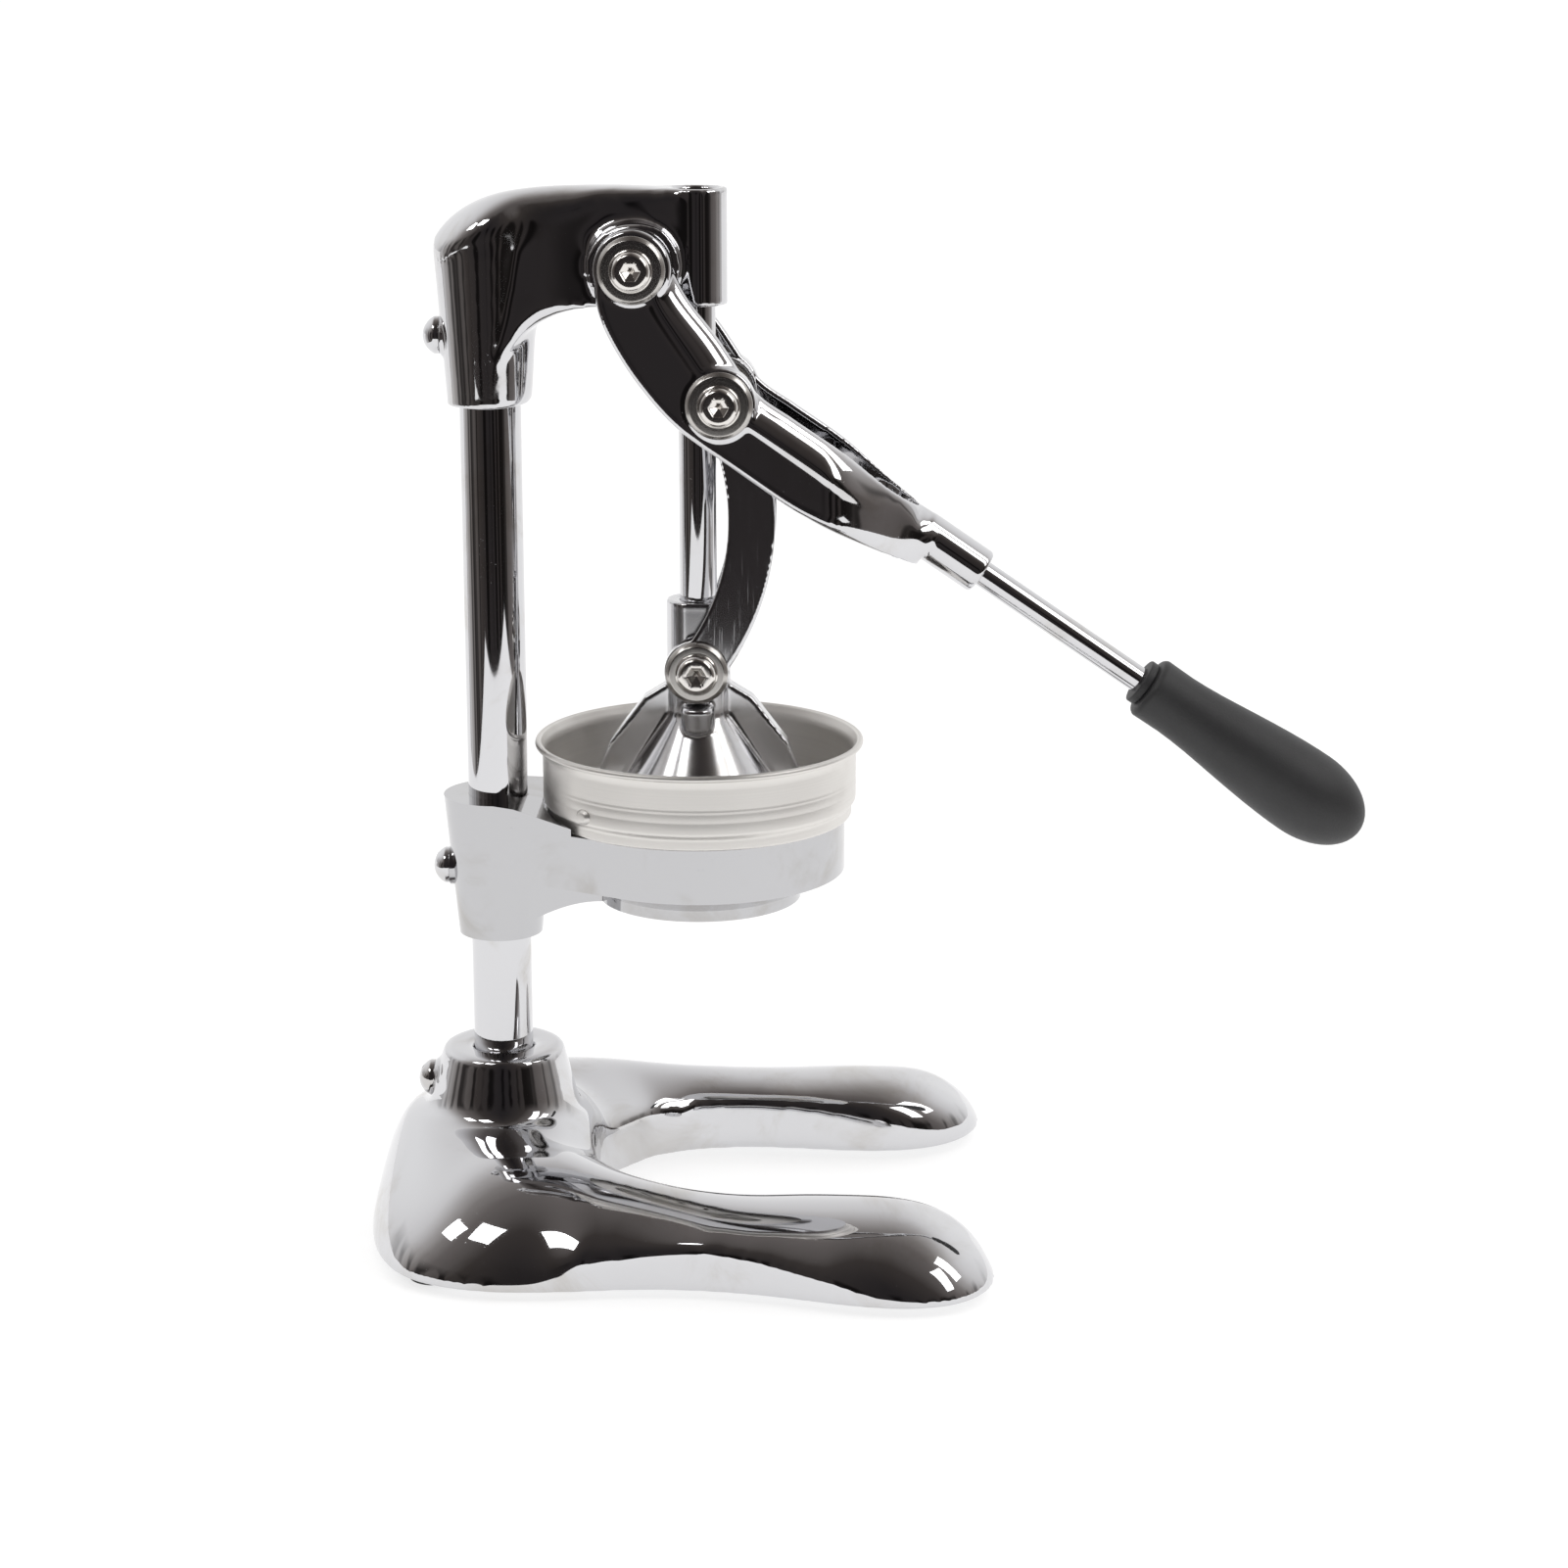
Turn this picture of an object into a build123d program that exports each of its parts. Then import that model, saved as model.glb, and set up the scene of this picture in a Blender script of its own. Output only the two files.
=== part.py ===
"""Hand lever citrus press: a chromed stand, a forked lever with two curved links, and a sliding press bell.

Millimetres, +Z up, the column at the -X side and the handle towards +X. The origin is the middle of the
whole press on the table.
"""

import os
from math import cos, radians, sin, sqrt

from build123d import *

os.makedirs("parts", exist_ok=True)

# Overall sizes
overall_height = 400.0
base_length = 240.0
base_width = 228.0
base_rear = 50.0
reach = 77.5

# Fits and cuts
fit_gap = 0.05
running_gap = 0.05
side_gap = 0.3
overrun = 40.0

# Base casting
deck_height = 28.0
boss_top_radius = 23.0
boss_foot_radius = 30.0
boss_foot_height = 30.0
boss_height = 67.0
boss_edge = 1.2
column_socket_floor = 15.0
# Half of the plan, from the rear round the leg's tip to the notch: shares of the length and half width, and
# how much of the roll each point takes.
base_outline_shares = (
    (0.0, 0.0, 1.0),
    (0.008, 0.395, 1.0),
    (0.083, 0.77, 1.0),
    (0.229, 0.886, 1.0),
    (0.458, 0.851, 1.0),
    (0.667, 0.908, 0.95),
    (0.84, 0.995, 0.85),
    (0.945, 0.95, 0.75),
    (1.0, 0.78, 0.65),
    (0.985, 0.60, 0.55),
    (0.925, 0.475, 0.42),
    (0.82, 0.425, 0.3),
    (0.667, 0.456, 0.25),
    (0.52, 0.44, 0.2),
    (0.42, 0.30, 0.2),
    (0.374, 0.165, 0.2),
    (0.358, 0.0, 0.2),
)
# The deck rolls over towards its edge in a quarter of an ellipse, from a little under the widest line.
deck_roll = 28.0
deck_slice_count = 8
deck_undercut_angle = 15.0
# The notch behind the glass, where the hump is cut away.
notch_shares = ((0.355, 0.0), (0.371, 0.165), (0.417, 0.30), (0.52, 0.41))
# Each slice of the hump: rise as a share of the way from floor to hump top, rear and front reach and half
# width as shares of the base's rear reach and half width.
hump_top = 42.0
hump_slice_shares = (
    (0.12, 0.90, 0.86, 0.80),
    (0.30, 0.92, 0.88, 0.82),
    (0.54, 0.88, 0.88, 0.74),
    (0.78, 0.80, 0.75, 0.60),
    (1.0, 0.62, 0.50, 0.34),
)
# Each ridge that runs from the hump into a leg, half an egg laid along the leg: shares of its middle in the
# plan, its half length as a share of the base's length, its turn, and the heights of its middle and top.
ridge_shares = (0.29, 0.493)
ridge_length_share = 0.283
ridge_angle = 17.8
ridge_level = 10.0
ridge_top = 41.0

# Feet
foot_height = 3.0
foot_radius = 10.0
foot_recess = 3.0
foot_screw_radius = 2.0
foot_screw_head_radius = 4.0
foot_screw_head_height = 2.0
foot_screw_head_recess = 0.8
foot_screw_length = 10.0
foot_shares = ((0.125, 0.66), (0.875, 0.73))

# Column and its set screws
column_diameter = 23.0
set_screw_radius = 3.0
set_screw_head_radius = 7.0
set_screw_head_height = 6.5
set_screw_rim = 2.0
set_screw_pad_radius = 7.6
set_screw_slot_width = 1.6
set_screw_slot_depth = 2.2
base_screw_height = 52.4
head_screw_drop = 55.5
bracket_screw_share = 0.065

# Head casting
head_sleeve_bottom_radius = 15.8
head_sleeve_top_radius = 21.5
head_sleeve_length = 81.2
head_bore_roof = 14.0
head_slab_thickness = 23.0
head_slab_depth = 43.7
head_web_shares = ((0.0, 1.43), (0.2, 1.36), (0.58, 1.02), (1.0, 1.0))
head_arch_radius = 38.0
head_arch_rise = 14.0
head_arch_wall = 12.0
head_top_edge = 4.0
head_top_shares = (
    (-0.30, 0.52),
    (-0.16, 0.235),
    (0.05, 0.06),
    (0.25, 0.006),
    (0.62, 0.0),
    (1.20, 0.012),
)
guide_bore_radius = 8.4
guide_bush_drop = 3.0

# Lever pivot on the head
pivot_back = 22.5
pivot_drop = 28.5
pivot_boss_radius = 17.0
pivot_thread_radius = 4.0
pivot_thread_length = 8.0
shoulder_radius = 5.0

# Pivot screws and their washers
button_radius = 7.2
button_height = 4.4
button_edge = 2.6
hex_radius = 3.6
hex_depth = 2.6
washer_radius = 12.5
press_washer_radius = 11.8
washer_thickness = 3.0
washer_bevel = 1.4

# Lever fork
crank_run = 31.6
crank_drop = 49.2
handle_angle = 34.4
fork_inner = 18.0
arm_thickness = 9.5
arm_eye_radius = 14.6
arm_pin_boss_radius = 14.0
arm_pocket_depth = 1.4
arm_pocket_margin = 5.0
arm_bush_radius = 7.5
socket_start = 94.8
socket_length = 24.0
socket_radius = 8.75
socket_overlap = 12.0
socket_bore_depth = 26.0
arm_lower_shares = (
    (-0.118, 0.142),
    (-0.072, 0.264),
    (0.015, 0.411),
    (0.142, 0.565),
    (0.323, 0.705),
    (0.58, 0.893),
    (0.777, 1.004),
    (0.955, 1.098),
)
arm_upper_shares = (
    (1.045, 0.931),
    (0.862, 0.80),
    (0.706, 0.663),
    (0.536, 0.538),
    (0.406, 0.437),
    (0.285, 0.252),
    (0.187, 0.112),
)
yoke_taper_share = 0.42
slot_taper_share = 0.40
slot_tip_share = 0.12

# Handle and grip
handle_radius = 5.0
handle_exposed = 73.4
grip_length = 104.0
grip_bore_depth = 80.0
grip_start_radius = 12.3
grip_waist_radius = 12.1
grip_bulb_radius = 16.9
grip_bulb_length = 26.0
grip_edge = 1.6
ferrule_radius = 7.6
ferrule_length = 3.0
grip_waist_share = 0.16
grip_swell_share = 0.47
grip_swell_radius_share = 0.905

# Links, their length a share of the whole height
link_length_share = 0.25675
link_bow = 15.9
link_width = 17.5
link_thickness = 6.2
link_press_eye_radius = 12.3
link_pin_eye_radius = 12.9
link_pin_radius = 3.0
link_pin_thread_radius = 2.6
link_pin_hole_radius = 9.6
link_bush_radius = 7.0
lock_nut_flange_radius = 11.2
lock_nut_flange = 1.2
lock_nut_radius = 6.2
lock_nut_height = 2.1

# Press bell and guide rod
rod_diameter = 14.0
rod_top_drop = 2.5
rod_seat_depth = 17.0
neck_radius = 12.1
neck_above_pivot = 25.0
bell_top_radius = 12.0
bell_top_drop = 19.0
bell_bottom_radius = 44.0
bell_height = 48.0
bell_wall = 3.6
bell_roof = 5.0
fin_thickness = 9.0
# Outer edge of a fin: reach as a share of the bell's mouth radius, drop below the press pivot as a share of
# the drop from that pivot to the mouth.
fin_shares = (
    (0.20, 0.08),
    (0.37, 0.15),
    (0.47, 0.19),
    (0.77, 0.45),
    (0.86, 0.60),
    (0.93, 0.92),
)

# Juice cup and strainer
rim_below_press_pivot = 29.0
cup_radius = 60.0
cup_wall = 1.2
cup_rim_bead = 2.0
cup_upper_depth = 23.5
cup_step = 1.6
cup_depth = 29.6
cup_spigot_radius = 51.6
cup_spigot_depth = 14.4
cup_drain_radius = 21.0
strainer_foot_radius = 42.0
strainer_radius = 33.0
strainer_top_radius = 9.0
strainer_height = 26.0
strainer_wall = 1.4
strainer_slot_count = 16
strainer_slot_width = 2.2
strainer_slot_start_share = 0.45
strainer_slot_end_share = 0.85

# Bowl bracket, its sleeve and screw as shares of the whole height
ring_wall = 4.0
ring_depth = 21.2
bracket_web_radius = 18.5
bracket_top_radius = 21.0
bracket_sleeve_radius = 16.1
bracket_sleeve_share = 0.1375
bracket_crown = 7.0
bracket_crown_start = 8.0
bracket_crown_end = 46.0
funnel_drop = 7.5
collar_radius = 39.0
collar_wall = 4.0
collar_height = 4.2
funnel_wall = 3.0
gusset_thickness = 24.0
gusset_shares = ((0.0, 0.0), (0.13, 0.21), (0.34, 0.48), (0.52, 0.56))

# Places worked out from the sizes above
link_length = link_length_share * overall_height
bracket_sleeve_length = bracket_sleeve_share * overall_height
bracket_screw_rise = bracket_screw_share * overall_height
column_radius = column_diameter / 2
rod_radius = rod_diameter / 2
handle_cos = cos(radians(handle_angle))
handle_sin = sin(radians(handle_angle))
grip_start = socket_start + socket_length + handle_exposed
bulb_centre = grip_start + grip_length - grip_bulb_length
bulb_reach = sqrt((grip_bulb_length * handle_cos) ** 2 + (grip_bulb_radius * handle_sin) ** 2)
front_reach = reach - pivot_back + crank_run + bulb_centre * handle_cos + bulb_reach
column_x = (base_rear - front_reach) / 2
press_x = column_x + reach
base_left = column_x - base_rear
pivot_x = press_x - pivot_back
pivot_z = overall_height - pivot_drop
pin_x = pivot_x + crank_run
pin_z = pivot_z - crank_drop
press_z = pin_z - sqrt(link_length**2 - (pin_x - press_x) ** 2)
arm_outer = fork_inner + arm_thickness
link_outer = fork_inner - side_gap
link_inner = link_outer - link_thickness
boss_face = fork_inner - side_gap
rim_z = press_z - rim_below_press_pivot
ring_top = rim_z - cup_depth
ring_radius = cup_spigot_radius + side_gap + ring_wall
ring_bottom = ring_top - ring_depth
collar_bottom = ring_bottom - funnel_drop - collar_height
cup_floor = ring_top - cup_spigot_depth
bracket_bottom = ring_top + bracket_crown - bracket_sleeve_length
mouth_z = press_z - bell_top_drop - bell_height
head_bottom = overall_height - head_sleeve_length
slab_bottom = overall_height - head_slab_depth
neck_face = link_inner - side_gap
neck_top = press_z + neck_above_pivot
bell_top = press_z - bell_top_drop
collar_top = ring_bottom - funnel_drop
head_screw_z = overall_height - head_screw_drop
bracket_screw_z = bracket_bottom + bracket_screw_rise


def base_point(share):
    """A point of the base's plan, from its shares of the length and half width."""
    return (base_left + share[0] * base_length, share[1] * base_width / 2)


def base_slice(draw, z):
    """A slice of the deck, every point of the plan drawn in along its normal by its part of the roll."""
    plan = [Vector(*base_point(share)) for share in base_outline_shares]
    before = [Vector(plan[1].X, -plan[1].Y)] + plan[:-1]
    after = plan[1:] + [Vector(plan[-2].X, -plan[-2].Y)]
    drawn = []
    travel = [0]
    for place, last, following, share in zip(plan, before, after, base_outline_shares):
        run = (following - last).normalized()
        drawn.append(place + Vector(run.Y, -run.X) * draw * share[2] + Vector(0, 0, z))
        travel.append(travel[-1] + (following - place).length)
    marks = [way / travel[len(plan) - 1] for way in travel[: len(plan)]]
    half = Edge.make_spline(drawn, tangents=(Vector(0, 1), Vector(0, -1)), parameters=marks)
    return Face(Wire([half, half.mirror(Plane.XZ)]))


def cone_radius(z, low_z, low_radius, high_z, high_radius):
    """Radius of a tapered sleeve at a height."""
    return low_radius + (high_radius - low_radius) * (z - low_z) / (high_z - low_z)


def arm_point(share):
    """A point of the lever's side outline, from shares of the run and drop from the pivot to the socket."""
    run = crank_run + socket_start * handle_cos
    drop = crank_drop + socket_start * handle_sin
    return (pivot_x + share[0] * run, pivot_z - share[1] * drop)


def drawn_in(line, distance):
    """A line of points moved to its left by a distance."""
    places = [Vector(*place) for place in line]
    before = [places[0]] + places[:-1]
    after = places[1:] + [places[-1]]
    moved = []
    for place, last, following in zip(places, before, after):
        run = (following - last).normalized()
        moved.append(place + Vector(-run.Y, run.X) * distance)
    return moved


def handle_plane(distance):
    """Plane square to the handle, at a distance from the link pin along it."""
    origin = (pin_x + distance * handle_cos, 0, pin_z - distance * handle_sin)
    return Plane(origin=origin, x_dir=(0, 1, 0), z_dir=(handle_cos, 0, -handle_sin))


def mirrored(part):
    """The near piece and its mirror image on the far side."""
    with BuildPart() as pair:
        add(part)
        mirror(about=Plane.XZ)
    return pair.part


def pivot_screw(x, z, seat, shank_radius, shank_end, thread_radius, thread_end):
    """Button-head screw along Y on the near side, its head standing on the plane y = -seat."""
    with BuildPart() as screw:
        with BuildSketch(Plane(origin=(x, 0, z))):
            with BuildLine():
                Polyline(
                    (0, -thread_end),
                    (thread_radius, -thread_end),
                    (thread_radius, -shank_end),
                    (shank_radius, -shank_end),
                    (shank_radius, -seat),
                    (button_radius, -seat),
                    (button_radius, -seat - button_height + button_edge),
                )
                ThreePointArc(
                    (button_radius, -seat - button_height + button_edge),
                    (
                        button_radius - button_edge * (1 - sqrt(2) / 2),
                        -seat - button_height + button_edge * (1 - sqrt(2) / 2),
                    ),
                    (button_radius - button_edge, -seat - button_height),
                )
                Polyline(
                    (button_radius - button_edge, -seat - button_height),
                    (0, -seat - button_height),
                    (0, -thread_end),
                )
            make_face()
        revolve(axis=Axis((x, 0, z), (0, 1, 0)))
        with BuildSketch(Plane(origin=(x, -seat - button_height, z), z_dir=(0, 1, 0))):
            RegularPolygon(radius=hex_radius, side_count=6)
        extrude(amount=hex_depth, mode=Mode.SUBTRACT)
    return screw.part


def bevelled_washer(x, z, seat, radius, hole_radius):
    """Washer round a pivot screw, lying on the plane y = -seat with its rim bevelled outwards."""
    with BuildPart() as washer:
        with BuildSketch(Plane(origin=(x, 0, z))):
            Polygon(
                (hole_radius, -seat),
                (radius, -seat),
                (radius, -seat - washer_thickness + washer_bevel),
                (radius - washer_bevel, -seat - washer_thickness),
                (hole_radius, -seat - washer_thickness),
                align=None,
            )
        revolve(axis=Axis((x, 0, z), (0, 1, 0)))
    return washer.part


def plain_bush(x, z, inner_y, outer_y, radius, hole_radius):
    """Plain bush along Y on the near side."""
    with BuildPart() as bush:
        with BuildSketch(Plane(origin=(x, -inner_y, z), x_dir=(1, 0, 0), z_dir=(0, -1, 0))):
            Circle(radius)
            Circle(hole_radius, mode=Mode.SUBTRACT)
        extrude(amount=outer_y - inner_y)
    return bush.part


def set_screw(surface_x, z):
    """Slotted dome-head screw along X that clamps a casting to the column from behind."""
    tip = column_x - column_radius - fit_gap
    head_end = surface_x - set_screw_head_height
    with BuildPart() as screw:
        with BuildSketch(Plane(origin=(0, 0, z), x_dir=(1, 0, 0), z_dir=(0, -1, 0))):
            with BuildLine():
                Polyline(
                    (tip, 0),
                    (tip, set_screw_radius),
                    (surface_x, set_screw_radius),
                    (surface_x, set_screw_head_radius),
                    (surface_x - set_screw_rim, set_screw_head_radius),
                )
                TangentArc(
                    (head_end, 0),
                    (surface_x - set_screw_rim, set_screw_head_radius),
                    tangent=(0, 1),
                )
                Line((head_end, 0), (tip, 0))
            make_face()
        revolve(axis=Axis((0, 0, z), (1, 0, 0)))
        with BuildSketch(Plane(origin=(head_end, 0, z), x_dir=(0, 1, 0), z_dir=(1, 0, 0))):
            Rectangle(set_screw_slot_width, 2 * set_screw_head_radius)
        extrude(amount=set_screw_slot_depth, mode=Mode.SUBTRACT)
    return screw.part


# Base casting: a rolled deck, a hump that rises to the column boss, and a notch for the glass
base_screw_low = base_screw_height - set_screw_head_radius
base_screw_reach = cone_radius(base_screw_low, boss_foot_height, boss_foot_radius, boss_height, boss_top_radius)
with BuildPart() as base_casting:
    undercut = sin(radians(deck_undercut_angle))
    deck_slices = []
    for step in range(deck_slice_count + 1):
        turn = radians((90 + deck_undercut_angle) * step / deck_slice_count - deck_undercut_angle)
        rise_share = (sin(turn) + undercut) / (1 + undercut)
        level = foot_height + rise_share * (deck_height - foot_height)
        deck_slices.append(base_slice((1 - cos(turn)) * deck_roll, level))
    loft(deck_slices)
    for rise, rear, front, half in hump_slice_shares:
        with BuildSketch(Plane.XY.offset(foot_height + rise * (hump_top - foot_height))):
            with Locations((column_x + (front - rear) * base_rear / 2, 0)):
                Ellipse(half * base_width / 2, (front + rear) * base_rear / 2, rotation=90)
    loft()
    ridge_radius = ridge_top - ridge_level
    ridge_half_length = ridge_length_share * base_length
    for side in (1, -1):
        ridge_middle = base_point((ridge_shares[0], side * ridge_shares[1]))
        ridge_run = (cos(radians(ridge_angle)), side * sin(radians(ridge_angle)), 0)
        ridge_plane = Plane(origin=(*ridge_middle, ridge_level), x_dir=ridge_run, z_dir=(0, 0, 1))
        with BuildSketch(ridge_plane):
            Ellipse(ridge_half_length, ridge_radius)
            Rectangle(
                2 * ridge_half_length, ridge_radius, align=(Align.CENTER, Align.MAX), mode=Mode.SUBTRACT
            )
        revolve(axis=Axis(ridge_plane.origin, ridge_plane.x_dir), revolution_arc=180)
    with BuildSketch(Plane(origin=(column_x, 0, boss_foot_height))):
        Circle(boss_foot_radius)
    with BuildSketch(Plane(origin=(column_x, 0, boss_height))):
        Circle(boss_top_radius)
    loft()
    fillet(base_casting.faces().sort_by(Axis.Z)[-1].edges(), radius=boss_edge)
    with BuildSketch(Plane(origin=(column_x, 0, base_screw_height), z_dir=(-1, 0, 0))):
        Circle(set_screw_pad_radius)
    extrude(amount=base_screw_reach)
    with BuildSketch():
        with BuildLine():
            notch = [base_point(share) for share in notch_shares]
            Spline(notch, tangents=((0, 1), (1, 0)))
            Line(notch[-1], (base_left + base_length, notch[-1][1]))
            Line((base_left + base_length, notch[-1][1]), (base_left + base_length, 0))
            mirror(about=Plane.XZ)
        make_face()
    extrude(amount=boss_height, mode=Mode.SUBTRACT)
    with BuildSketch(Plane(origin=(column_x, 0, column_socket_floor))):
        Circle(column_radius + fit_gap)
    extrude(amount=boss_height, mode=Mode.SUBTRACT)
    with BuildSketch(Plane(origin=(column_x, 0, base_screw_height), z_dir=(-1, 0, 0))):
        Circle(set_screw_radius + fit_gap)
    extrude(amount=base_rear, mode=Mode.SUBTRACT)
    foot_places = [base_point((x, side * y)) for x, y in foot_shares for side in (1, -1)]
    with BuildSketch(Plane.XY.offset(foot_height)):
        with Locations(*foot_places):
            Circle(foot_radius + fit_gap)
    extrude(amount=foot_recess, mode=Mode.SUBTRACT)
    with BuildSketch(Plane.XY.offset(foot_height)):
        with Locations(*foot_places):
            Circle(foot_screw_radius + fit_gap)
    extrude(amount=foot_screw_length, mode=Mode.SUBTRACT)
base_casting.part.label = "base_casting"
export_step(base_casting.part, "parts/base_casting.step")

# Rubber feet and the screws that hold them
with BuildPart() as rubber_feet:
    with BuildSketch():
        with Locations(*foot_places):
            Circle(foot_radius)
    extrude(amount=foot_height + foot_recess)
    with BuildSketch():
        with Locations(*foot_places):
            Circle(foot_screw_head_radius + fit_gap)
    extrude(amount=foot_screw_head_recess + foot_screw_head_height, mode=Mode.SUBTRACT)
    with BuildSketch():
        with Locations(*foot_places):
            Circle(foot_screw_radius + fit_gap)
    extrude(amount=foot_height + foot_recess, mode=Mode.SUBTRACT)
rubber_feet.part.label = "rubber_feet"
export_step(rubber_feet.part, "parts/rubber_feet.step")

with BuildPart() as foot_screws:
    with BuildSketch(Plane.XY.offset(foot_screw_head_recess)):
        with Locations(*foot_places):
            Circle(foot_screw_head_radius)
    extrude(amount=foot_screw_head_height)
    with BuildSketch(Plane.XY.offset(foot_screw_head_recess)):
        with Locations(*foot_places):
            Circle(foot_screw_radius)
    extrude(amount=foot_screw_length)
foot_screws.part.label = "foot_screws"
export_step(foot_screws.part, "parts/foot_screws.step")

# Column, from the socket in the base to the blind bore of the head
with BuildPart() as column:
    with BuildSketch(Plane(origin=(column_x, 0, column_socket_floor))):
        Circle(column_radius)
    extrude(amount=overall_height - head_bore_roof - column_socket_floor)
column.part.label = "column"
export_step(column.part, "parts/column.step")

# Head casting: a tapered sleeve on the column, a flat arm with a crowned top, and the guide sleeve
head_screw_high = head_screw_z + set_screw_head_radius
head_screw_reach = cone_radius(
    head_screw_high, head_bottom, head_sleeve_bottom_radius, overall_height, head_sleeve_top_radius
)
with BuildPart() as head_casting:
    arch_foot = (column_x + head_sleeve_bottom_radius - head_arch_wall, head_bottom + head_arch_rise)
    arch_crown = (arch_foot[0] + head_arch_radius, slab_bottom)
    with BuildSketch(Plane.XZ):
        with BuildLine():
            arch = TangentArc(arch_crown, arch_foot, tangent=(-1, 0))
            Line(arch_foot, (column_x, arch_foot[1]))
            Line((column_x, arch_foot[1]), (column_x, overall_height))
            Line((column_x, overall_height), (press_x, overall_height))
            Line((press_x, overall_height), (press_x, slab_bottom))
            Line((press_x, slab_bottom), arch_crown)
        make_face()
    extrude(amount=head_sleeve_top_radius, both=True)
    web = [(column_x + along * reach, half * head_slab_thickness / 2) for along, half in head_web_shares]
    with BuildSketch():
        with BuildLine():
            Line((column_x, 0), web[0])
            Spline(web)
            Line(web[-1], (press_x, 0))
            mirror(about=Plane.XZ)
        make_face()
    extrude(amount=overall_height, mode=Mode.INTERSECT)
    with BuildSketch(Plane(origin=(column_x, 0, head_bottom))):
        Circle(head_sleeve_bottom_radius)
    with BuildSketch(Plane(origin=(column_x, 0, overall_height))):
        Circle(head_sleeve_top_radius)
    loft()
    with BuildSketch(Plane(origin=(press_x, 0, slab_bottom))):
        Circle(head_slab_thickness / 2)
    extrude(amount=head_slab_depth)
    top_line = [
        (column_x + along * reach, overall_height - down * head_slab_depth) for along, down in head_top_shares
    ]
    with BuildSketch(Plane.XZ):
        with BuildLine():
            Spline(top_line)
            Polyline(
                top_line[-1],
                (top_line[-1][0], overall_height + overrun),
                (top_line[0][0], overall_height + overrun),
                top_line[0],
            )
        make_face()
    extrude(amount=overrun, both=True, mode=Mode.SUBTRACT)
    crest = head_casting.faces().sort_by(Axis.Z)[-1]
    fillet(crest.edges(), radius=head_top_edge)
    with BuildSketch(Plane(origin=(pivot_x, 0, pivot_z), x_dir=(1, 0, 0), z_dir=(0, -1, 0))):
        Circle(pivot_boss_radius)
    extrude(amount=boss_face, both=True)
    with BuildSketch(Plane(origin=(column_x, 0, head_screw_z), z_dir=(-1, 0, 0))):
        Circle(set_screw_pad_radius)
    extrude(amount=head_screw_reach)
    with BuildSketch(Plane(origin=(column_x, 0, head_bottom))):
        Circle(column_radius + fit_gap)
    extrude(amount=head_sleeve_length - head_bore_roof, mode=Mode.SUBTRACT)
    with BuildSketch(Plane(origin=(press_x, 0, slab_bottom))):
        Circle(guide_bore_radius)
    extrude(amount=head_slab_depth, mode=Mode.SUBTRACT)
    with BuildSketch(Plane(origin=(column_x, 0, head_screw_z), z_dir=(-1, 0, 0))):
        Circle(set_screw_radius + fit_gap)
    extrude(amount=overrun, mode=Mode.SUBTRACT)
    for side in (1, -1):
        with BuildSketch(Plane(origin=(pivot_x, -side * boss_face, pivot_z), z_dir=(0, side, 0))):
            Circle(pivot_thread_radius + fit_gap)
        extrude(amount=pivot_thread_length + side_gap, mode=Mode.SUBTRACT)
head_casting.part.label = "head_casting"
export_step(head_casting.part, "parts/head_casting.step")

# Guide bush in the head's front sleeve, short of its top so that the mouth shows
with BuildPart() as guide_bush:
    with BuildSketch(Plane(origin=(press_x, 0, slab_bottom))):
        Circle(guide_bore_radius - fit_gap)
        Circle(rod_radius + running_gap, mode=Mode.SUBTRACT)
    extrude(amount=head_slab_depth - guide_bush_drop)
guide_bush.part.label = "guide_bush"
export_step(guide_bush.part, "parts/guide_bush.step")

# Pivot screws of the lever on the head, with the washers under their heads
with BuildPart() as head_pivot_washers:
    add(mirrored(bevelled_washer(pivot_x, pivot_z, arm_outer + side_gap, washer_radius, shoulder_radius + fit_gap)))
head_pivot_washers.part.label = "head_pivot_washers"
export_step(head_pivot_washers.part, "parts/head_pivot_washers.step")

with BuildPart() as head_pivot_screws:
    head_pivot_seat = arm_outer + side_gap + washer_thickness
    add(
        mirrored(
            pivot_screw(
                pivot_x,
                pivot_z,
                head_pivot_seat,
                shoulder_radius,
                boss_face,
                pivot_thread_radius,
                boss_face - pivot_thread_length,
            )
        )
    )
head_pivot_screws.part.label = "head_pivot_screws"
export_step(head_pivot_screws.part, "parts/head_pivot_screws.step")

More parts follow.
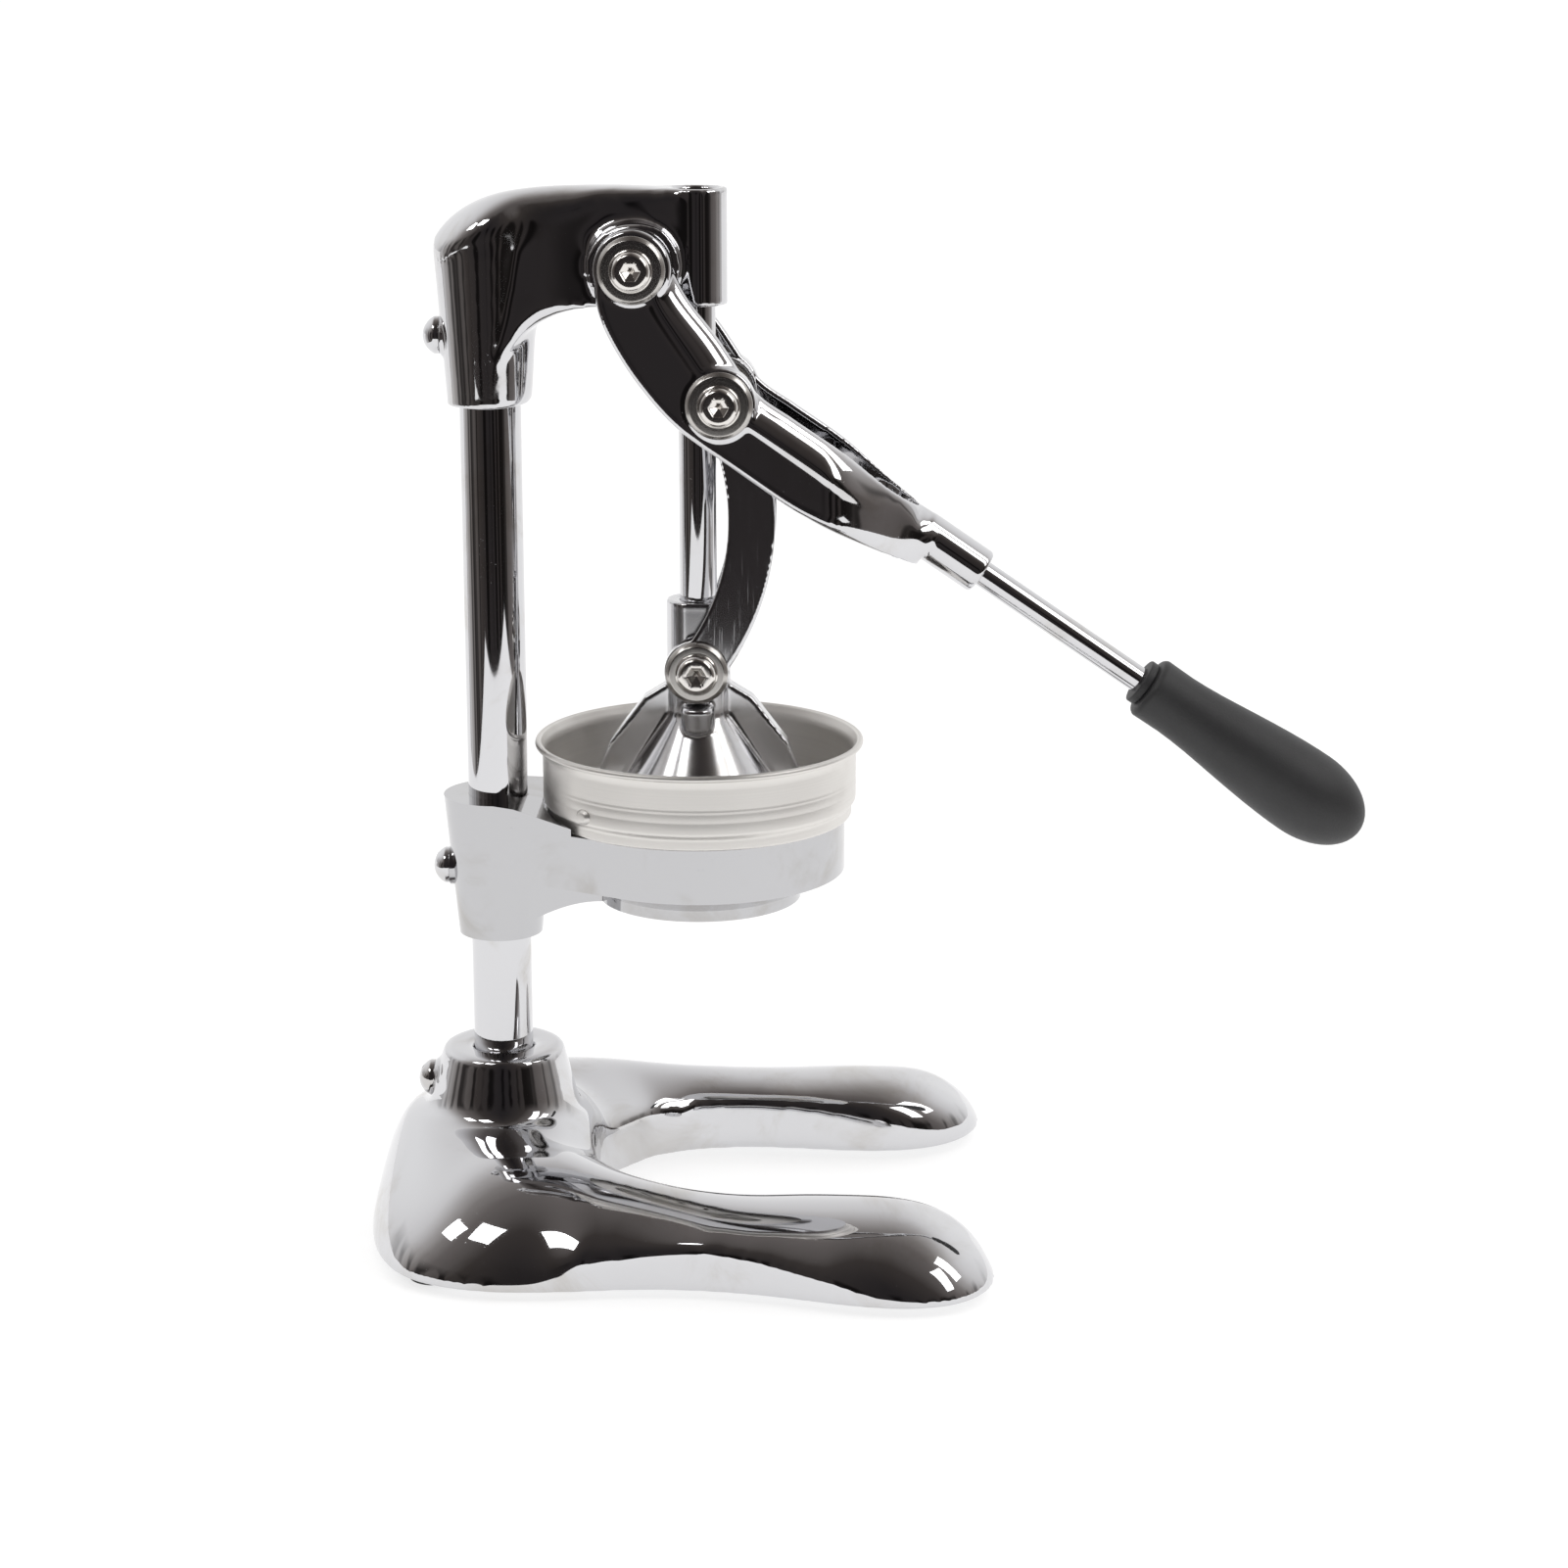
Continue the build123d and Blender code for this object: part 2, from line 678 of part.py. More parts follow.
# Lever fork: two bowed arms with sunk sides, joined in a yoke that ends in the handle socket
with BuildPart() as lever_fork:
    with BuildSketch(Plane.XZ) as arm_side:
        with BuildLine():
            lower = [arm_point(share) for share in arm_lower_shares]
            upper = [arm_point(share) for share in arm_upper_shares]
            Spline(lower)
            Line(lower[-1], upper[0])
            Spline(upper)
            Line(upper[-1], lower[0])
        make_face()
        with Locations((pivot_x, pivot_z)):
            Circle(arm_eye_radius)
        with Locations((pin_x, pin_z)):
            Circle(arm_pin_boss_radius)
    extrude(amount=arm_outer, both=True)
    yoke_x = pin_x + socket_start * handle_cos
    arm_run = yoke_x - pivot_x
    with BuildSketch(Plane.XY) as fork_plan:
        with BuildLine():
            Line((pivot_x - overrun, 0), (pivot_x - overrun, arm_outer))
            Line((pivot_x - overrun, arm_outer), (yoke_x - yoke_taper_share * arm_run, arm_outer))
            Spline(
                (yoke_x - yoke_taper_share * arm_run, arm_outer),
                (yoke_x, socket_radius),
                tangents=((1, 0), (1, 0)),
            )
            Line((yoke_x, socket_radius), (yoke_x + overrun, socket_radius))
            Line((yoke_x + overrun, socket_radius), (yoke_x + overrun, 0))
            mirror(about=Plane.XZ)
        make_face()
        with BuildLine():
            Line((pivot_x - overrun, 0), (pivot_x - overrun, fork_inner))
            Line((pivot_x - overrun, fork_inner), (yoke_x - slot_taper_share * arm_run, fork_inner))
            Spline(
                (yoke_x - slot_taper_share * arm_run, fork_inner),
                (yoke_x - slot_tip_share * arm_run, 0),
                tangents=((1, 0), (0, -1)),
            )
            mirror(about=Plane.XZ)
        make_face(mode=Mode.SUBTRACT)
    extrude(amount=overall_height, mode=Mode.INTERSECT)
    with BuildSketch(handle_plane(socket_start - socket_overlap)):
        Circle(socket_radius)
    extrude(amount=socket_length + socket_overlap)
    pocket_lower = drawn_in(lower, arm_pocket_margin)
    pocket_upper = drawn_in(upper, arm_pocket_margin)
    with BuildSketch(Plane.XZ) as arm_pocket:
        with BuildLine():
            Spline(pocket_lower)
            Line(pocket_lower[-1], pocket_upper[0])
            Spline(pocket_upper)
            Line(pocket_upper[-1], pocket_lower[0])
        make_face()
        with Locations((pivot_x, pivot_z)):
            Circle(arm_eye_radius, mode=Mode.SUBTRACT)
        with Locations((pin_x, pin_z)):
            Circle(arm_pin_boss_radius, mode=Mode.SUBTRACT)
        with Locations((yoke_x - yoke_taper_share * arm_run, 0)):
            Rectangle(arm_run, overall_height, align=(Align.MIN, Align.MIN), mode=Mode.SUBTRACT)
    for side in (1, -1):
        with BuildSketch(Plane.XZ.offset(side * (arm_outer - arm_pocket_depth))):
            add(arm_pocket.sketch_local)
        extrude(amount=side * arm_pocket_depth, mode=Mode.SUBTRACT)
    with BuildSketch(Plane.XZ):
        with Locations((pivot_x, pivot_z)):
            Circle(arm_bush_radius + fit_gap)
        with Locations((pin_x, pin_z)):
            Circle(link_pin_radius + fit_gap)
    extrude(amount=arm_outer, both=True, mode=Mode.SUBTRACT)
    with BuildSketch(handle_plane(socket_start + socket_length - socket_bore_depth)):
        Circle(handle_radius + fit_gap)
    extrude(amount=socket_bore_depth, mode=Mode.SUBTRACT)
lever_fork.part.label = "lever_fork"
export_step(lever_fork.part, "parts/lever_fork.step")

# Bushes that carry the fork on the shoulders of the head's pivot screws
with BuildPart() as fork_bushes:
    add(
        mirrored(
            plain_bush(pivot_x, pivot_z, fork_inner, arm_outer, arm_bush_radius, shoulder_radius + running_gap)
        )
    )
fork_bushes.part.label = "fork_bushes"
export_step(fork_bushes.part, "parts/fork_bushes.step")

# Link pins: screws through the arms with a washer outside and a flanged lock nut inside the link
nut_face = link_inner - side_gap
nut_end = nut_face - lock_nut_flange - lock_nut_height
with BuildPart() as link_pins:
    link_pin_seat = arm_outer + washer_thickness
    add(
        mirrored(
            pivot_screw(
                pin_x,
                pin_z,
                link_pin_seat,
                link_pin_radius,
                nut_face,
                link_pin_thread_radius,
                nut_end,
            )
        )
    )
link_pins.part.label = "link_pins"
export_step(link_pins.part, "parts/link_pins.step")

with BuildPart() as link_pin_washers:
    add(mirrored(bevelled_washer(pin_x, pin_z, arm_outer, washer_radius, link_pin_radius + fit_gap)))
link_pin_washers.part.label = "link_pin_washers"
export_step(link_pin_washers.part, "parts/link_pin_washers.step")

with BuildPart() as near_lock_nut:
    with BuildSketch(Plane(origin=(pin_x, -nut_face, pin_z), z_dir=(0, 1, 0))):
        Circle(lock_nut_flange_radius)
        Circle(link_pin_thread_radius + fit_gap, mode=Mode.SUBTRACT)
    extrude(amount=lock_nut_flange)
    with BuildSketch(Plane(origin=(pin_x, -nut_face, pin_z), z_dir=(0, 1, 0))):
        RegularPolygon(radius=lock_nut_radius, side_count=6)
        Circle(link_pin_thread_radius + fit_gap, mode=Mode.SUBTRACT)
    extrude(amount=lock_nut_flange + lock_nut_height)
with BuildPart() as link_lock_nuts:
    add(mirrored(near_lock_nut.part))
link_lock_nuts.part.label = "link_lock_nuts"
export_step(link_lock_nuts.part, "parts/link_lock_nuts.step")

# Handle rod in the socket of the fork, with the grip and its ferrule on the free end
with BuildPart() as handle_rod:
    with BuildSketch(handle_plane(socket_start + socket_length - socket_bore_depth)):
        Circle(handle_radius)
    extrude(amount=socket_bore_depth + handle_exposed + grip_bore_depth)
handle_rod.part.label = "handle_rod"
export_step(handle_rod.part, "parts/handle_rod.step")

with BuildPart() as grip_ferrule:
    with BuildSketch(handle_plane(grip_start)):
        Circle(ferrule_radius)
        Circle(handle_radius + fit_gap, mode=Mode.SUBTRACT)
    extrude(amount=ferrule_length)
grip_ferrule.part.label = "grip_ferrule"
export_step(grip_ferrule.part, "parts/grip_ferrule.step")

handle_line = Axis((pin_x, 0, pin_z), (handle_cos, 0, -handle_sin))
grip_end = grip_start + grip_length
with BuildPart() as grip:
    with BuildSketch(Plane(origin=(pin_x, 0, pin_z), x_dir=(handle_cos, 0, -handle_sin), z_dir=(0, -1, 0))):
        with BuildLine():
            Line((grip_start, 0), (grip_start, grip_start_radius - grip_edge))
            RadiusArc(
                (grip_start, grip_start_radius - grip_edge),
                (grip_start + grip_edge, grip_start_radius),
                grip_edge,
            )
            Spline(
                (grip_start + grip_edge, grip_start_radius),
                (grip_start + grip_waist_share * grip_length, grip_waist_radius),
                (grip_start + grip_swell_share * grip_length, grip_swell_radius_share * grip_bulb_radius),
                (bulb_centre, grip_bulb_radius),
                tangents=((1, 0), (1, 0)),
            )
            EllipticalCenterArc((bulb_centre, 0), grip_bulb_length, grip_bulb_radius, start_angle=0, arc_size=90)
            Line((grip_end, 0), (grip_start, 0))
        make_face()
    revolve(axis=handle_line)
    with BuildSketch(handle_plane(grip_start)):
        Circle(handle_radius + fit_gap)
    extrude(amount=grip_bore_depth + fit_gap, mode=Mode.SUBTRACT)
    with BuildSketch(handle_plane(grip_start)):
        Circle(ferrule_radius + fit_gap)
    extrude(amount=ferrule_length, mode=Mode.SUBTRACT)
grip.part.label = "grip"
export_step(grip.part, "parts/grip.step")

# Links: two bowed bands with a bushed eye at the press and an open eye round the link pin
link_run = Vector(pin_x - press_x, pin_z - press_z)
link_middle = Vector(press_x, press_z) + link_run / 2
link_side = Vector(link_run.Y, -link_run.X).normalized()
with BuildPart() as near_link:
    with BuildSketch(Plane(origin=(0, -link_inner, 0), x_dir=(1, 0, 0), z_dir=(0, -1, 0))):
        with BuildLine(mode=Mode.PRIVATE) as link_arc:
            ThreePointArc((press_x, press_z), link_middle + link_side * link_bow, (pin_x, pin_z))
        SlotArc(link_arc.edges()[0], link_width)
        with Locations((press_x, press_z)):
            Circle(link_press_eye_radius)
        with Locations((pin_x, pin_z)):
            Circle(link_pin_eye_radius)
    extrude(amount=link_thickness)
    with BuildSketch(Plane(origin=(0, -link_inner, 0), x_dir=(1, 0, 0), z_dir=(0, -1, 0))):
        with Locations((press_x, press_z)):
            Circle(link_bush_radius + fit_gap)
        with Locations((pin_x, pin_z)):
            Circle(link_pin_hole_radius)
    extrude(amount=link_thickness, mode=Mode.SUBTRACT)
near_link.part.label = "near_link"
export_step(near_link.part, "parts/near_link.step")

with BuildPart() as far_link:
    mirror(near_link.part, about=Plane.XZ)
far_link.part.label = "far_link"
export_step(far_link.part, "parts/far_link.step")

with BuildPart() as link_bushes:
    add(
        mirrored(
            plain_bush(press_x, press_z, link_inner, link_outer, link_bush_radius, shoulder_radius + running_gap)
        )
    )
link_bushes.part.label = "link_bushes"
export_step(link_bushes.part, "parts/link_bushes.step")

# Press bell: a neck with flats for the links, a hollow cone and two flat fins
wall_across = bell_wall * sqrt(1 + ((bell_bottom_radius - bell_top_radius) / bell_height) ** 2)
with BuildPart() as press_bell:
    with BuildSketch(Plane(origin=(press_x, 0, bell_top))):
        Circle(neck_radius)
        Rectangle(2 * neck_radius, 2 * neck_face, mode=Mode.INTERSECT)
    extrude(amount=neck_top - bell_top)
    with BuildSketch(Plane(origin=(press_x, 0, mouth_z))):
        Circle(bell_bottom_radius)
    with BuildSketch(Plane(origin=(press_x, 0, bell_top))):
        Circle(bell_top_radius)
    loft()
    fin_drop = press_z - mouth_z
    fin = [(reach_share * bell_bottom_radius, press_z - share * fin_drop) for reach_share, share in fin_shares]
    with BuildSketch(Plane(origin=(press_x, 0, 0), x_dir=(1, 0, 0), z_dir=(0, -1, 0))):
        Polygon((0, fin[0][1]), *fin, (0, fin[-1][1]), align=None)
        mirror(about=Plane.YZ)
    extrude(amount=fin_thickness / 2, both=True)
    with BuildSketch(Plane(origin=(press_x, 0, mouth_z))):
        Circle(bell_bottom_radius - wall_across)
    with BuildSketch(Plane(origin=(press_x, 0, bell_top - bell_roof))):
        Circle(
            cone_radius(
                bell_top - bell_roof,
                mouth_z,
                bell_bottom_radius - wall_across,
                bell_top,
                bell_top_radius - wall_across,
            )
        )
    loft(mode=Mode.SUBTRACT)
    with BuildSketch(Plane(origin=(press_x, 0, neck_top - rod_seat_depth))):
        Circle(rod_radius + fit_gap)
    extrude(amount=rod_seat_depth, mode=Mode.SUBTRACT)
    for side in (1, -1):
        with BuildSketch(Plane(origin=(press_x, -side * neck_face, press_z), z_dir=(0, side, 0))):
            Circle(pivot_thread_radius + fit_gap)
        extrude(amount=pivot_thread_length + side_gap, mode=Mode.SUBTRACT)
press_bell.part.label = "press_bell"
export_step(press_bell.part, "parts/press_bell.step")

# Guide rod, which slides in the head's guide bush
with BuildPart() as guide_rod:
    with BuildSketch(Plane(origin=(press_x, 0, neck_top - rod_seat_depth))):
        Circle(rod_radius)
    extrude(amount=overall_height - rod_top_drop - neck_top + rod_seat_depth)
guide_rod.part.label = "guide_rod"
export_step(guide_rod.part, "parts/guide_rod.step")

# Pivot screws of the links on the press, with the washers under their heads
with BuildPart() as press_pivot_washers:
    add(
        mirrored(
            bevelled_washer(press_x, press_z, link_outer + side_gap, press_washer_radius, shoulder_radius + fit_gap)
        )
    )
press_pivot_washers.part.label = "press_pivot_washers"
export_step(press_pivot_washers.part, "parts/press_pivot_washers.step")

with BuildPart() as press_pivot_screws:
    press_pivot_seat = link_outer + side_gap + washer_thickness
    add(
        mirrored(
            pivot_screw(
                press_x,
                press_z,
                press_pivot_seat,
                shoulder_radius,
                neck_face,
                pivot_thread_radius,
                neck_face - pivot_thread_length,
            )
        )
    )
press_pivot_screws.part.label = "press_pivot_screws"
export_step(press_pivot_screws.part, "parts/press_pivot_screws.step")

# Juice cup: a thin stepped dish with a rolled rim, standing on the bracket's ring with its spigot inside it
step_z = rim_z - cup_upper_depth
cup_top = rim_z - cup_rim_bead
with BuildPart() as juice_cup:
    with BuildSketch(Plane(origin=(press_x, 0, 0), x_dir=(1, 0, 0), z_dir=(0, -1, 0))):
        Polygon(
            (cup_radius, cup_top),
            (cup_radius, step_z),
            (cup_radius - cup_step, step_z - cup_step),
            (cup_radius - cup_step, ring_top),
            (cup_spigot_radius, ring_top),
            (cup_spigot_radius, cup_floor),
            (cup_drain_radius, cup_floor),
            (cup_drain_radius, cup_floor + cup_wall),
            (cup_spigot_radius - cup_wall, cup_floor + cup_wall),
            (cup_spigot_radius - cup_wall, ring_top + cup_wall),
            (cup_radius - cup_step - cup_wall, ring_top + cup_wall),
            (cup_radius - cup_step - cup_wall, step_z - cup_step),
            (cup_radius - cup_wall, step_z),
            (cup_radius - cup_wall, cup_top),
            align=None,
        )
        with Locations((cup_radius - cup_wall + cup_rim_bead, cup_top)):
            Circle(cup_rim_bead)
    revolve(axis=Axis((press_x, 0, 0), (0, 0, 1)))
juice_cup.part.label = "juice_cup"
export_step(juice_cup.part, "parts/juice_cup.step")

# Strainer cone: a slotted cone standing on the cup's floor over the drain
strainer_foot = cup_floor + cup_wall
strainer_top = strainer_foot + strainer_height
slot_start = strainer_top_radius + strainer_slot_start_share * (strainer_radius - strainer_top_radius)
slot_end = strainer_top_radius + strainer_slot_end_share * (strainer_radius - strainer_top_radius)
with BuildPart() as strainer_cone:
    with BuildSketch(Plane(origin=(press_x, 0, 0), x_dir=(1, 0, 0), z_dir=(0, -1, 0))):
        Polygon(
            (strainer_foot_radius, strainer_foot),
            (strainer_foot_radius, strainer_foot + strainer_wall),
            (strainer_radius, strainer_foot + strainer_wall),
            (strainer_top_radius, strainer_top),
            (0, strainer_top),
            (0, strainer_top - strainer_wall),
            (strainer_top_radius - strainer_wall, strainer_top - strainer_wall),
            (strainer_radius - strainer_wall, strainer_foot),
            align=None,
        )
    revolve(axis=Axis((press_x, 0, 0), (0, 0, 1)))
    with BuildSketch(Plane(origin=(press_x, 0, strainer_top))):
        with PolarLocations((slot_start + slot_end) / 2, strainer_slot_count):
            Rectangle(slot_end - slot_start, strainer_slot_width)
    extrude(amount=-strainer_height, mode=Mode.SUBTRACT)
strainer_cone.part.label = "strainer_cone"
export_step(strainer_cone.part, "parts/strainer_cone.step")

# Bowl bracket: a tapered sleeve on the column, a web to the cup's ring, and the funnel under it
bracket_screw_high = bracket_screw_z + set_screw_head_radius
bracket_top = ring_top + bracket_crown
bracket_screw_reach = cone_radius(
    bracket_screw_high, bracket_bottom, bracket_sleeve_radius, bracket_top, bracket_top_radius
)
with BuildPart() as bowl_bracket:
    with BuildSketch(Plane(origin=(column_x, 0, bracket_bottom))):
        Circle(bracket_sleeve_radius)
    with BuildSketch(Plane(origin=(column_x, 0, bracket_top))):
        Circle(bracket_top_radius)
    loft()
    with BuildSketch(Plane.XY.offset(ring_bottom)) as web:
        with Locations((column_x, 0)):
            Circle(bracket_web_radius)
        with Locations((press_x, 0)):
            Circle(ring_radius)
        make_hull()
    extrude(amount=bracket_top - ring_bottom)
    with BuildSketch(Plane.XZ):
        Polygon(
            (column_x + bracket_crown_start, bracket_top),
            (column_x + bracket_crown_end, ring_top),
            (press_x + ring_radius + overrun, ring_top),
            (press_x + ring_radius + overrun, bracket_top + overrun),
            (column_x + bracket_crown_start, bracket_top + overrun),
            align=None,
        )
    extrude(amount=ring_radius + overrun, both=True, mode=Mode.SUBTRACT)
    with BuildSketch(Plane(origin=(press_x, 0, 0), x_dir=(1, 0, 0), z_dir=(0, -1, 0))):
        Polygon(
            (0, collar_bottom),
            (collar_radius, collar_bottom),
            (collar_radius, collar_top),
            (ring_radius, ring_bottom),
            (0, ring_bottom),
            align=None,
        )
    revolve(axis=Axis((press_x, 0, 0), (0, 0, 1)))
    gusset_depth = ring_bottom - bracket_bottom
    gusset = [(column_x + along * reach, bracket_bottom + up * gusset_depth) for along, up in gusset_shares]
    with BuildSketch(Plane.XZ):
        with BuildLine():
            Spline(gusset)
            Polyline(gusset[-1], (gusset[-1][0], ring_bottom), (gusset[0][0], ring_bottom), gusset[0])
        make_face()
    extrude(amount=gusset_thickness / 2, both=True)
    with BuildSketch(Plane(origin=(press_x, 0, ring_top))):
        Circle(cup_radius + side_gap)
    extrude(amount=bracket_crown, mode=Mode.SUBTRACT)
    with BuildSketch(Plane(origin=(column_x, 0, bracket_screw_z), z_dir=(-1, 0, 0))):
        Circle(set_screw_pad_radius)
    extrude(amount=bracket_screw_reach)
    with BuildSketch(Plane(origin=(press_x, 0, 0), x_dir=(1, 0, 0), z_dir=(0, -1, 0))):
        Polygon(
            (0, bracket_bottom),
            (collar_radius - collar_wall, bracket_bottom),
            (collar_radius - collar_wall, collar_top + funnel_wall),
            (ring_radius - ring_wall, ring_bottom + funnel_wall),
            (ring_radius - ring_wall, bracket_top),
            (0, bracket_top),
            align=None,
        )
    revolve(axis=Axis((press_x, 0, 0), (0, 0, 1)), mode=Mode.SUBTRACT)
    with BuildSketch(Plane(origin=(column_x, 0, bracket_bottom))):
        Circle(column_radius + fit_gap)
    extrude(amount=bracket_sleeve_length, mode=Mode.SUBTRACT)
    with BuildSketch(Plane(origin=(column_x, 0, bracket_screw_z), z_dir=(-1, 0, 0))):
        Circle(set_screw_radius + fit_gap)
    extrude(amount=bracket_screw_reach, mode=Mode.SUBTRACT)
bowl_bracket.part.label = "bowl_bracket"
export_step(bowl_bracket.part, "parts/bowl_bracket.step")

# Set screws that clamp the base, the bracket and the head to the column
with BuildPart() as base_set_screw:
    add(set_screw(column_x - base_screw_reach, base_screw_height))
base_set_screw.part.label = "base_set_screw"
export_step(base_set_screw.part, "parts/base_set_screw.step")

with BuildPart() as bracket_set_screw:
    add(set_screw(column_x - bracket_screw_reach, bracket_screw_z))
bracket_set_screw.part.label = "bracket_set_screw"
export_step(bracket_set_screw.part, "parts/bracket_set_screw.step")

with BuildPart() as head_set_screw:
    add(set_screw(column_x - head_screw_reach, head_screw_z))
head_set_screw.part.label = "head_set_screw"
export_step(head_set_screw.part, "parts/head_set_screw.step")
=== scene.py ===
"""Looks of the hand lever citrus press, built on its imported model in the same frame, in metres."""

from math import cos, pi, radians, sin, sqrt, tau

import bmesh
import bpy
import numpy as np
from mathutils import Euler, Matrix, Vector, kdtree


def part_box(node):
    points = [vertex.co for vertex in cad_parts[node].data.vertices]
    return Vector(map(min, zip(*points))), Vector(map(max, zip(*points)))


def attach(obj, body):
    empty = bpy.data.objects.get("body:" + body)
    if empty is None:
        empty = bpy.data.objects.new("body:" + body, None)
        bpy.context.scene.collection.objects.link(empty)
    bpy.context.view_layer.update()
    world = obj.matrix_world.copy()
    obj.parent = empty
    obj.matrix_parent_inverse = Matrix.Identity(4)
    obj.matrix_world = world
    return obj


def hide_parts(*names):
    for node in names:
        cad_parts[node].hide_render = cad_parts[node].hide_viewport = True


bl_info = {
    "name": "Citrus press looks",
    "version": (1, 0, 0),
    "blender": (4, 5, 0),
    "location": "View3D > Sidebar > Press",
    "description": "Chromed castings, turned fastenings, cup, grip and stage of a hand lever citrus press",
    "category": "Object",
}

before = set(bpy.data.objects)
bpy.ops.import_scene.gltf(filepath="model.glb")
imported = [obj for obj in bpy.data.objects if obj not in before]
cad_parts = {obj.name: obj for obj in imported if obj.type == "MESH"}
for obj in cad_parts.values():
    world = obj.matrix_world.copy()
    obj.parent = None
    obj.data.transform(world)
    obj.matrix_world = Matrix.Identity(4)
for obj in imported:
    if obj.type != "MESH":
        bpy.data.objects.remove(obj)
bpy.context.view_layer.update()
mm = 0.001


def box_middle(node):
    """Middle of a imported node's box."""
    low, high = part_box(node)
    return (low + high) / 2


def box_half(node):
    """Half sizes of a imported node's box."""
    low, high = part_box(node)
    return (high - low) / 2


def packed_mesh(node):
    """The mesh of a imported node."""
    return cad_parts[node].data


def inner_side(node):
    """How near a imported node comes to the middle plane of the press."""
    return min(abs(point.co.y) for point in packed_mesh(node).vertices)


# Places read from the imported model
column_axis = box_middle("column")
press_axis = box_middle("guide_rod")
head_pivot = box_middle("head_pivot_screws")
link_pivot = box_middle("link_pins")
press_pivot = box_middle("press_pivot_screws")
cup_low, cup_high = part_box("juice_cup")


# Properties a user may change


class PressSizes(bpy.types.PropertyGroup):
    """Sizes of the details that the looks add."""

    base_grain: bpy.props.FloatProperty(
        name="Base grain", description="Mesh size of the base's skin",
        default=1.25 * mm, unit="LENGTH",
    )
    cast_grain: bpy.props.FloatProperty(
        name="Casting grain", description="Mesh size of the other castings",
        default=0.8 * mm, unit="LENGTH",
    )
    link_grain: bpy.props.FloatProperty(
        name="Link grain", description="Mesh size of the links",
        default=0.5 * mm, unit="LENGTH",
    )
    base_rounds: bpy.props.IntProperty(
        name="Base rounds", description="Passes that soften the base",
        default=55,
    )
    cast_rounds: bpy.props.IntProperty(
        name="Cast rounds", description="Passes that even out a casting",
        default=24,
    )
    leg_crown: bpy.props.FloatProperty(
        name="Leg crown", description="Height of the legs' crown",
        default=30.0 * mm, unit="LENGTH",
    )
    leg_shoulder: bpy.props.FloatProperty(
        name="Leg shoulder", description="Height of the legs' outer shoulder",
        default=20.0 * mm, unit="LENGTH",
    )
    leg_brink: bpy.props.FloatProperty(
        name="Leg brink", description="Height of the legs' edge over the notch",
        default=24.0 * mm, unit="LENGTH",
    )
    hump_crown: bpy.props.FloatProperty(
        name="Hump crown", description="Height of the hump at the foot of its boss",
        default=42.0 * mm, unit="LENGTH",
    )
    head_fall: bpy.props.FloatProperty(
        name="Head fall", description="How far the head's top falls to its faces",
        default=7.5 * mm, unit="LENGTH",
    )
    panel_depth: bpy.props.FloatProperty(
        name="Panel depth", description="How far the panel of a lever arm is sunk",
        default=0.35 * mm, unit="LENGTH",
    )
    eye_radius: bpy.props.FloatProperty(
        name="Eye radius", description="Radius of the lever's eye round its pivot",
        default=14.6 * mm, unit="LENGTH",
    )
    boss_radius: bpy.props.FloatProperty(
        name="Boss radius", description="Radius of the raised seat at the link's pin",
        default=13.6 * mm, unit="LENGTH",
    )
    socket_start: bpy.props.FloatProperty(
        name="Socket start", description="Distance from the link's pin to the socket",
        default=94.8 * mm, unit="LENGTH",
    )
    socket_length: bpy.props.FloatProperty(
        name="Socket length", description="Length of the handle's socket",
        default=24.0 * mm, unit="LENGTH",
    )
    socket_radius: bpy.props.FloatProperty(
        name="Socket radius", description="Radius of the handle's socket",
        default=8.75 * mm, unit="LENGTH",
    )
    yoke_end: bpy.props.FloatProperty(
        name="Yoke end", description="Half width of the yoke where it meets the socket",
        default=9.5 * mm, unit="LENGTH",
    )
    washer_bevel: bpy.props.FloatProperty(
        name="Washer bevel", description="Width of the bevel on a pivot washer",
        default=1.5 * mm, unit="LENGTH",
    )
    button_lip: bpy.props.FloatProperty(
        name="Button lip", description="Height of the upright lip under a button head",
        default=0.7 * mm, unit="LENGTH",
    )
    hex_across: bpy.props.FloatProperty(
        name="Key size", description="Width across flats of the screws' sockets",
        default=6.2 * mm, unit="LENGTH",
    )
    rim_bead: bpy.props.FloatProperty(
        name="Rim bead", description="Radius of the cup's rolled rim",
        default=1.25 * mm, unit="LENGTH",
    )
    cup_groove: bpy.props.FloatProperty(
        name="Cup groove", description="Depth of the lines round the cup",
        default=0.05 * mm, unit="LENGTH",
    )
    dimple_radius: bpy.props.FloatProperty(
        name="Dimple radius", description="Radius of the stop on the cup's wall",
        default=3.7 * mm, unit="LENGTH",
    )
    handle_angle: bpy.props.FloatProperty(
        name="Handle slope", description="Slope of the handle under the level",
        default=radians(34.4), subtype="ANGLE",
    )
    collar_radius: bpy.props.FloatProperty(
        name="Grip collar", description="Radius of the collar at the grip's start",
        default=8.9 * mm, unit="LENGTH",
    )
    collar_length: bpy.props.FloatProperty(
        name="Collar length", description="Length of the collar at the grip's start",
        default=2.9 * mm, unit="LENGTH",
    )


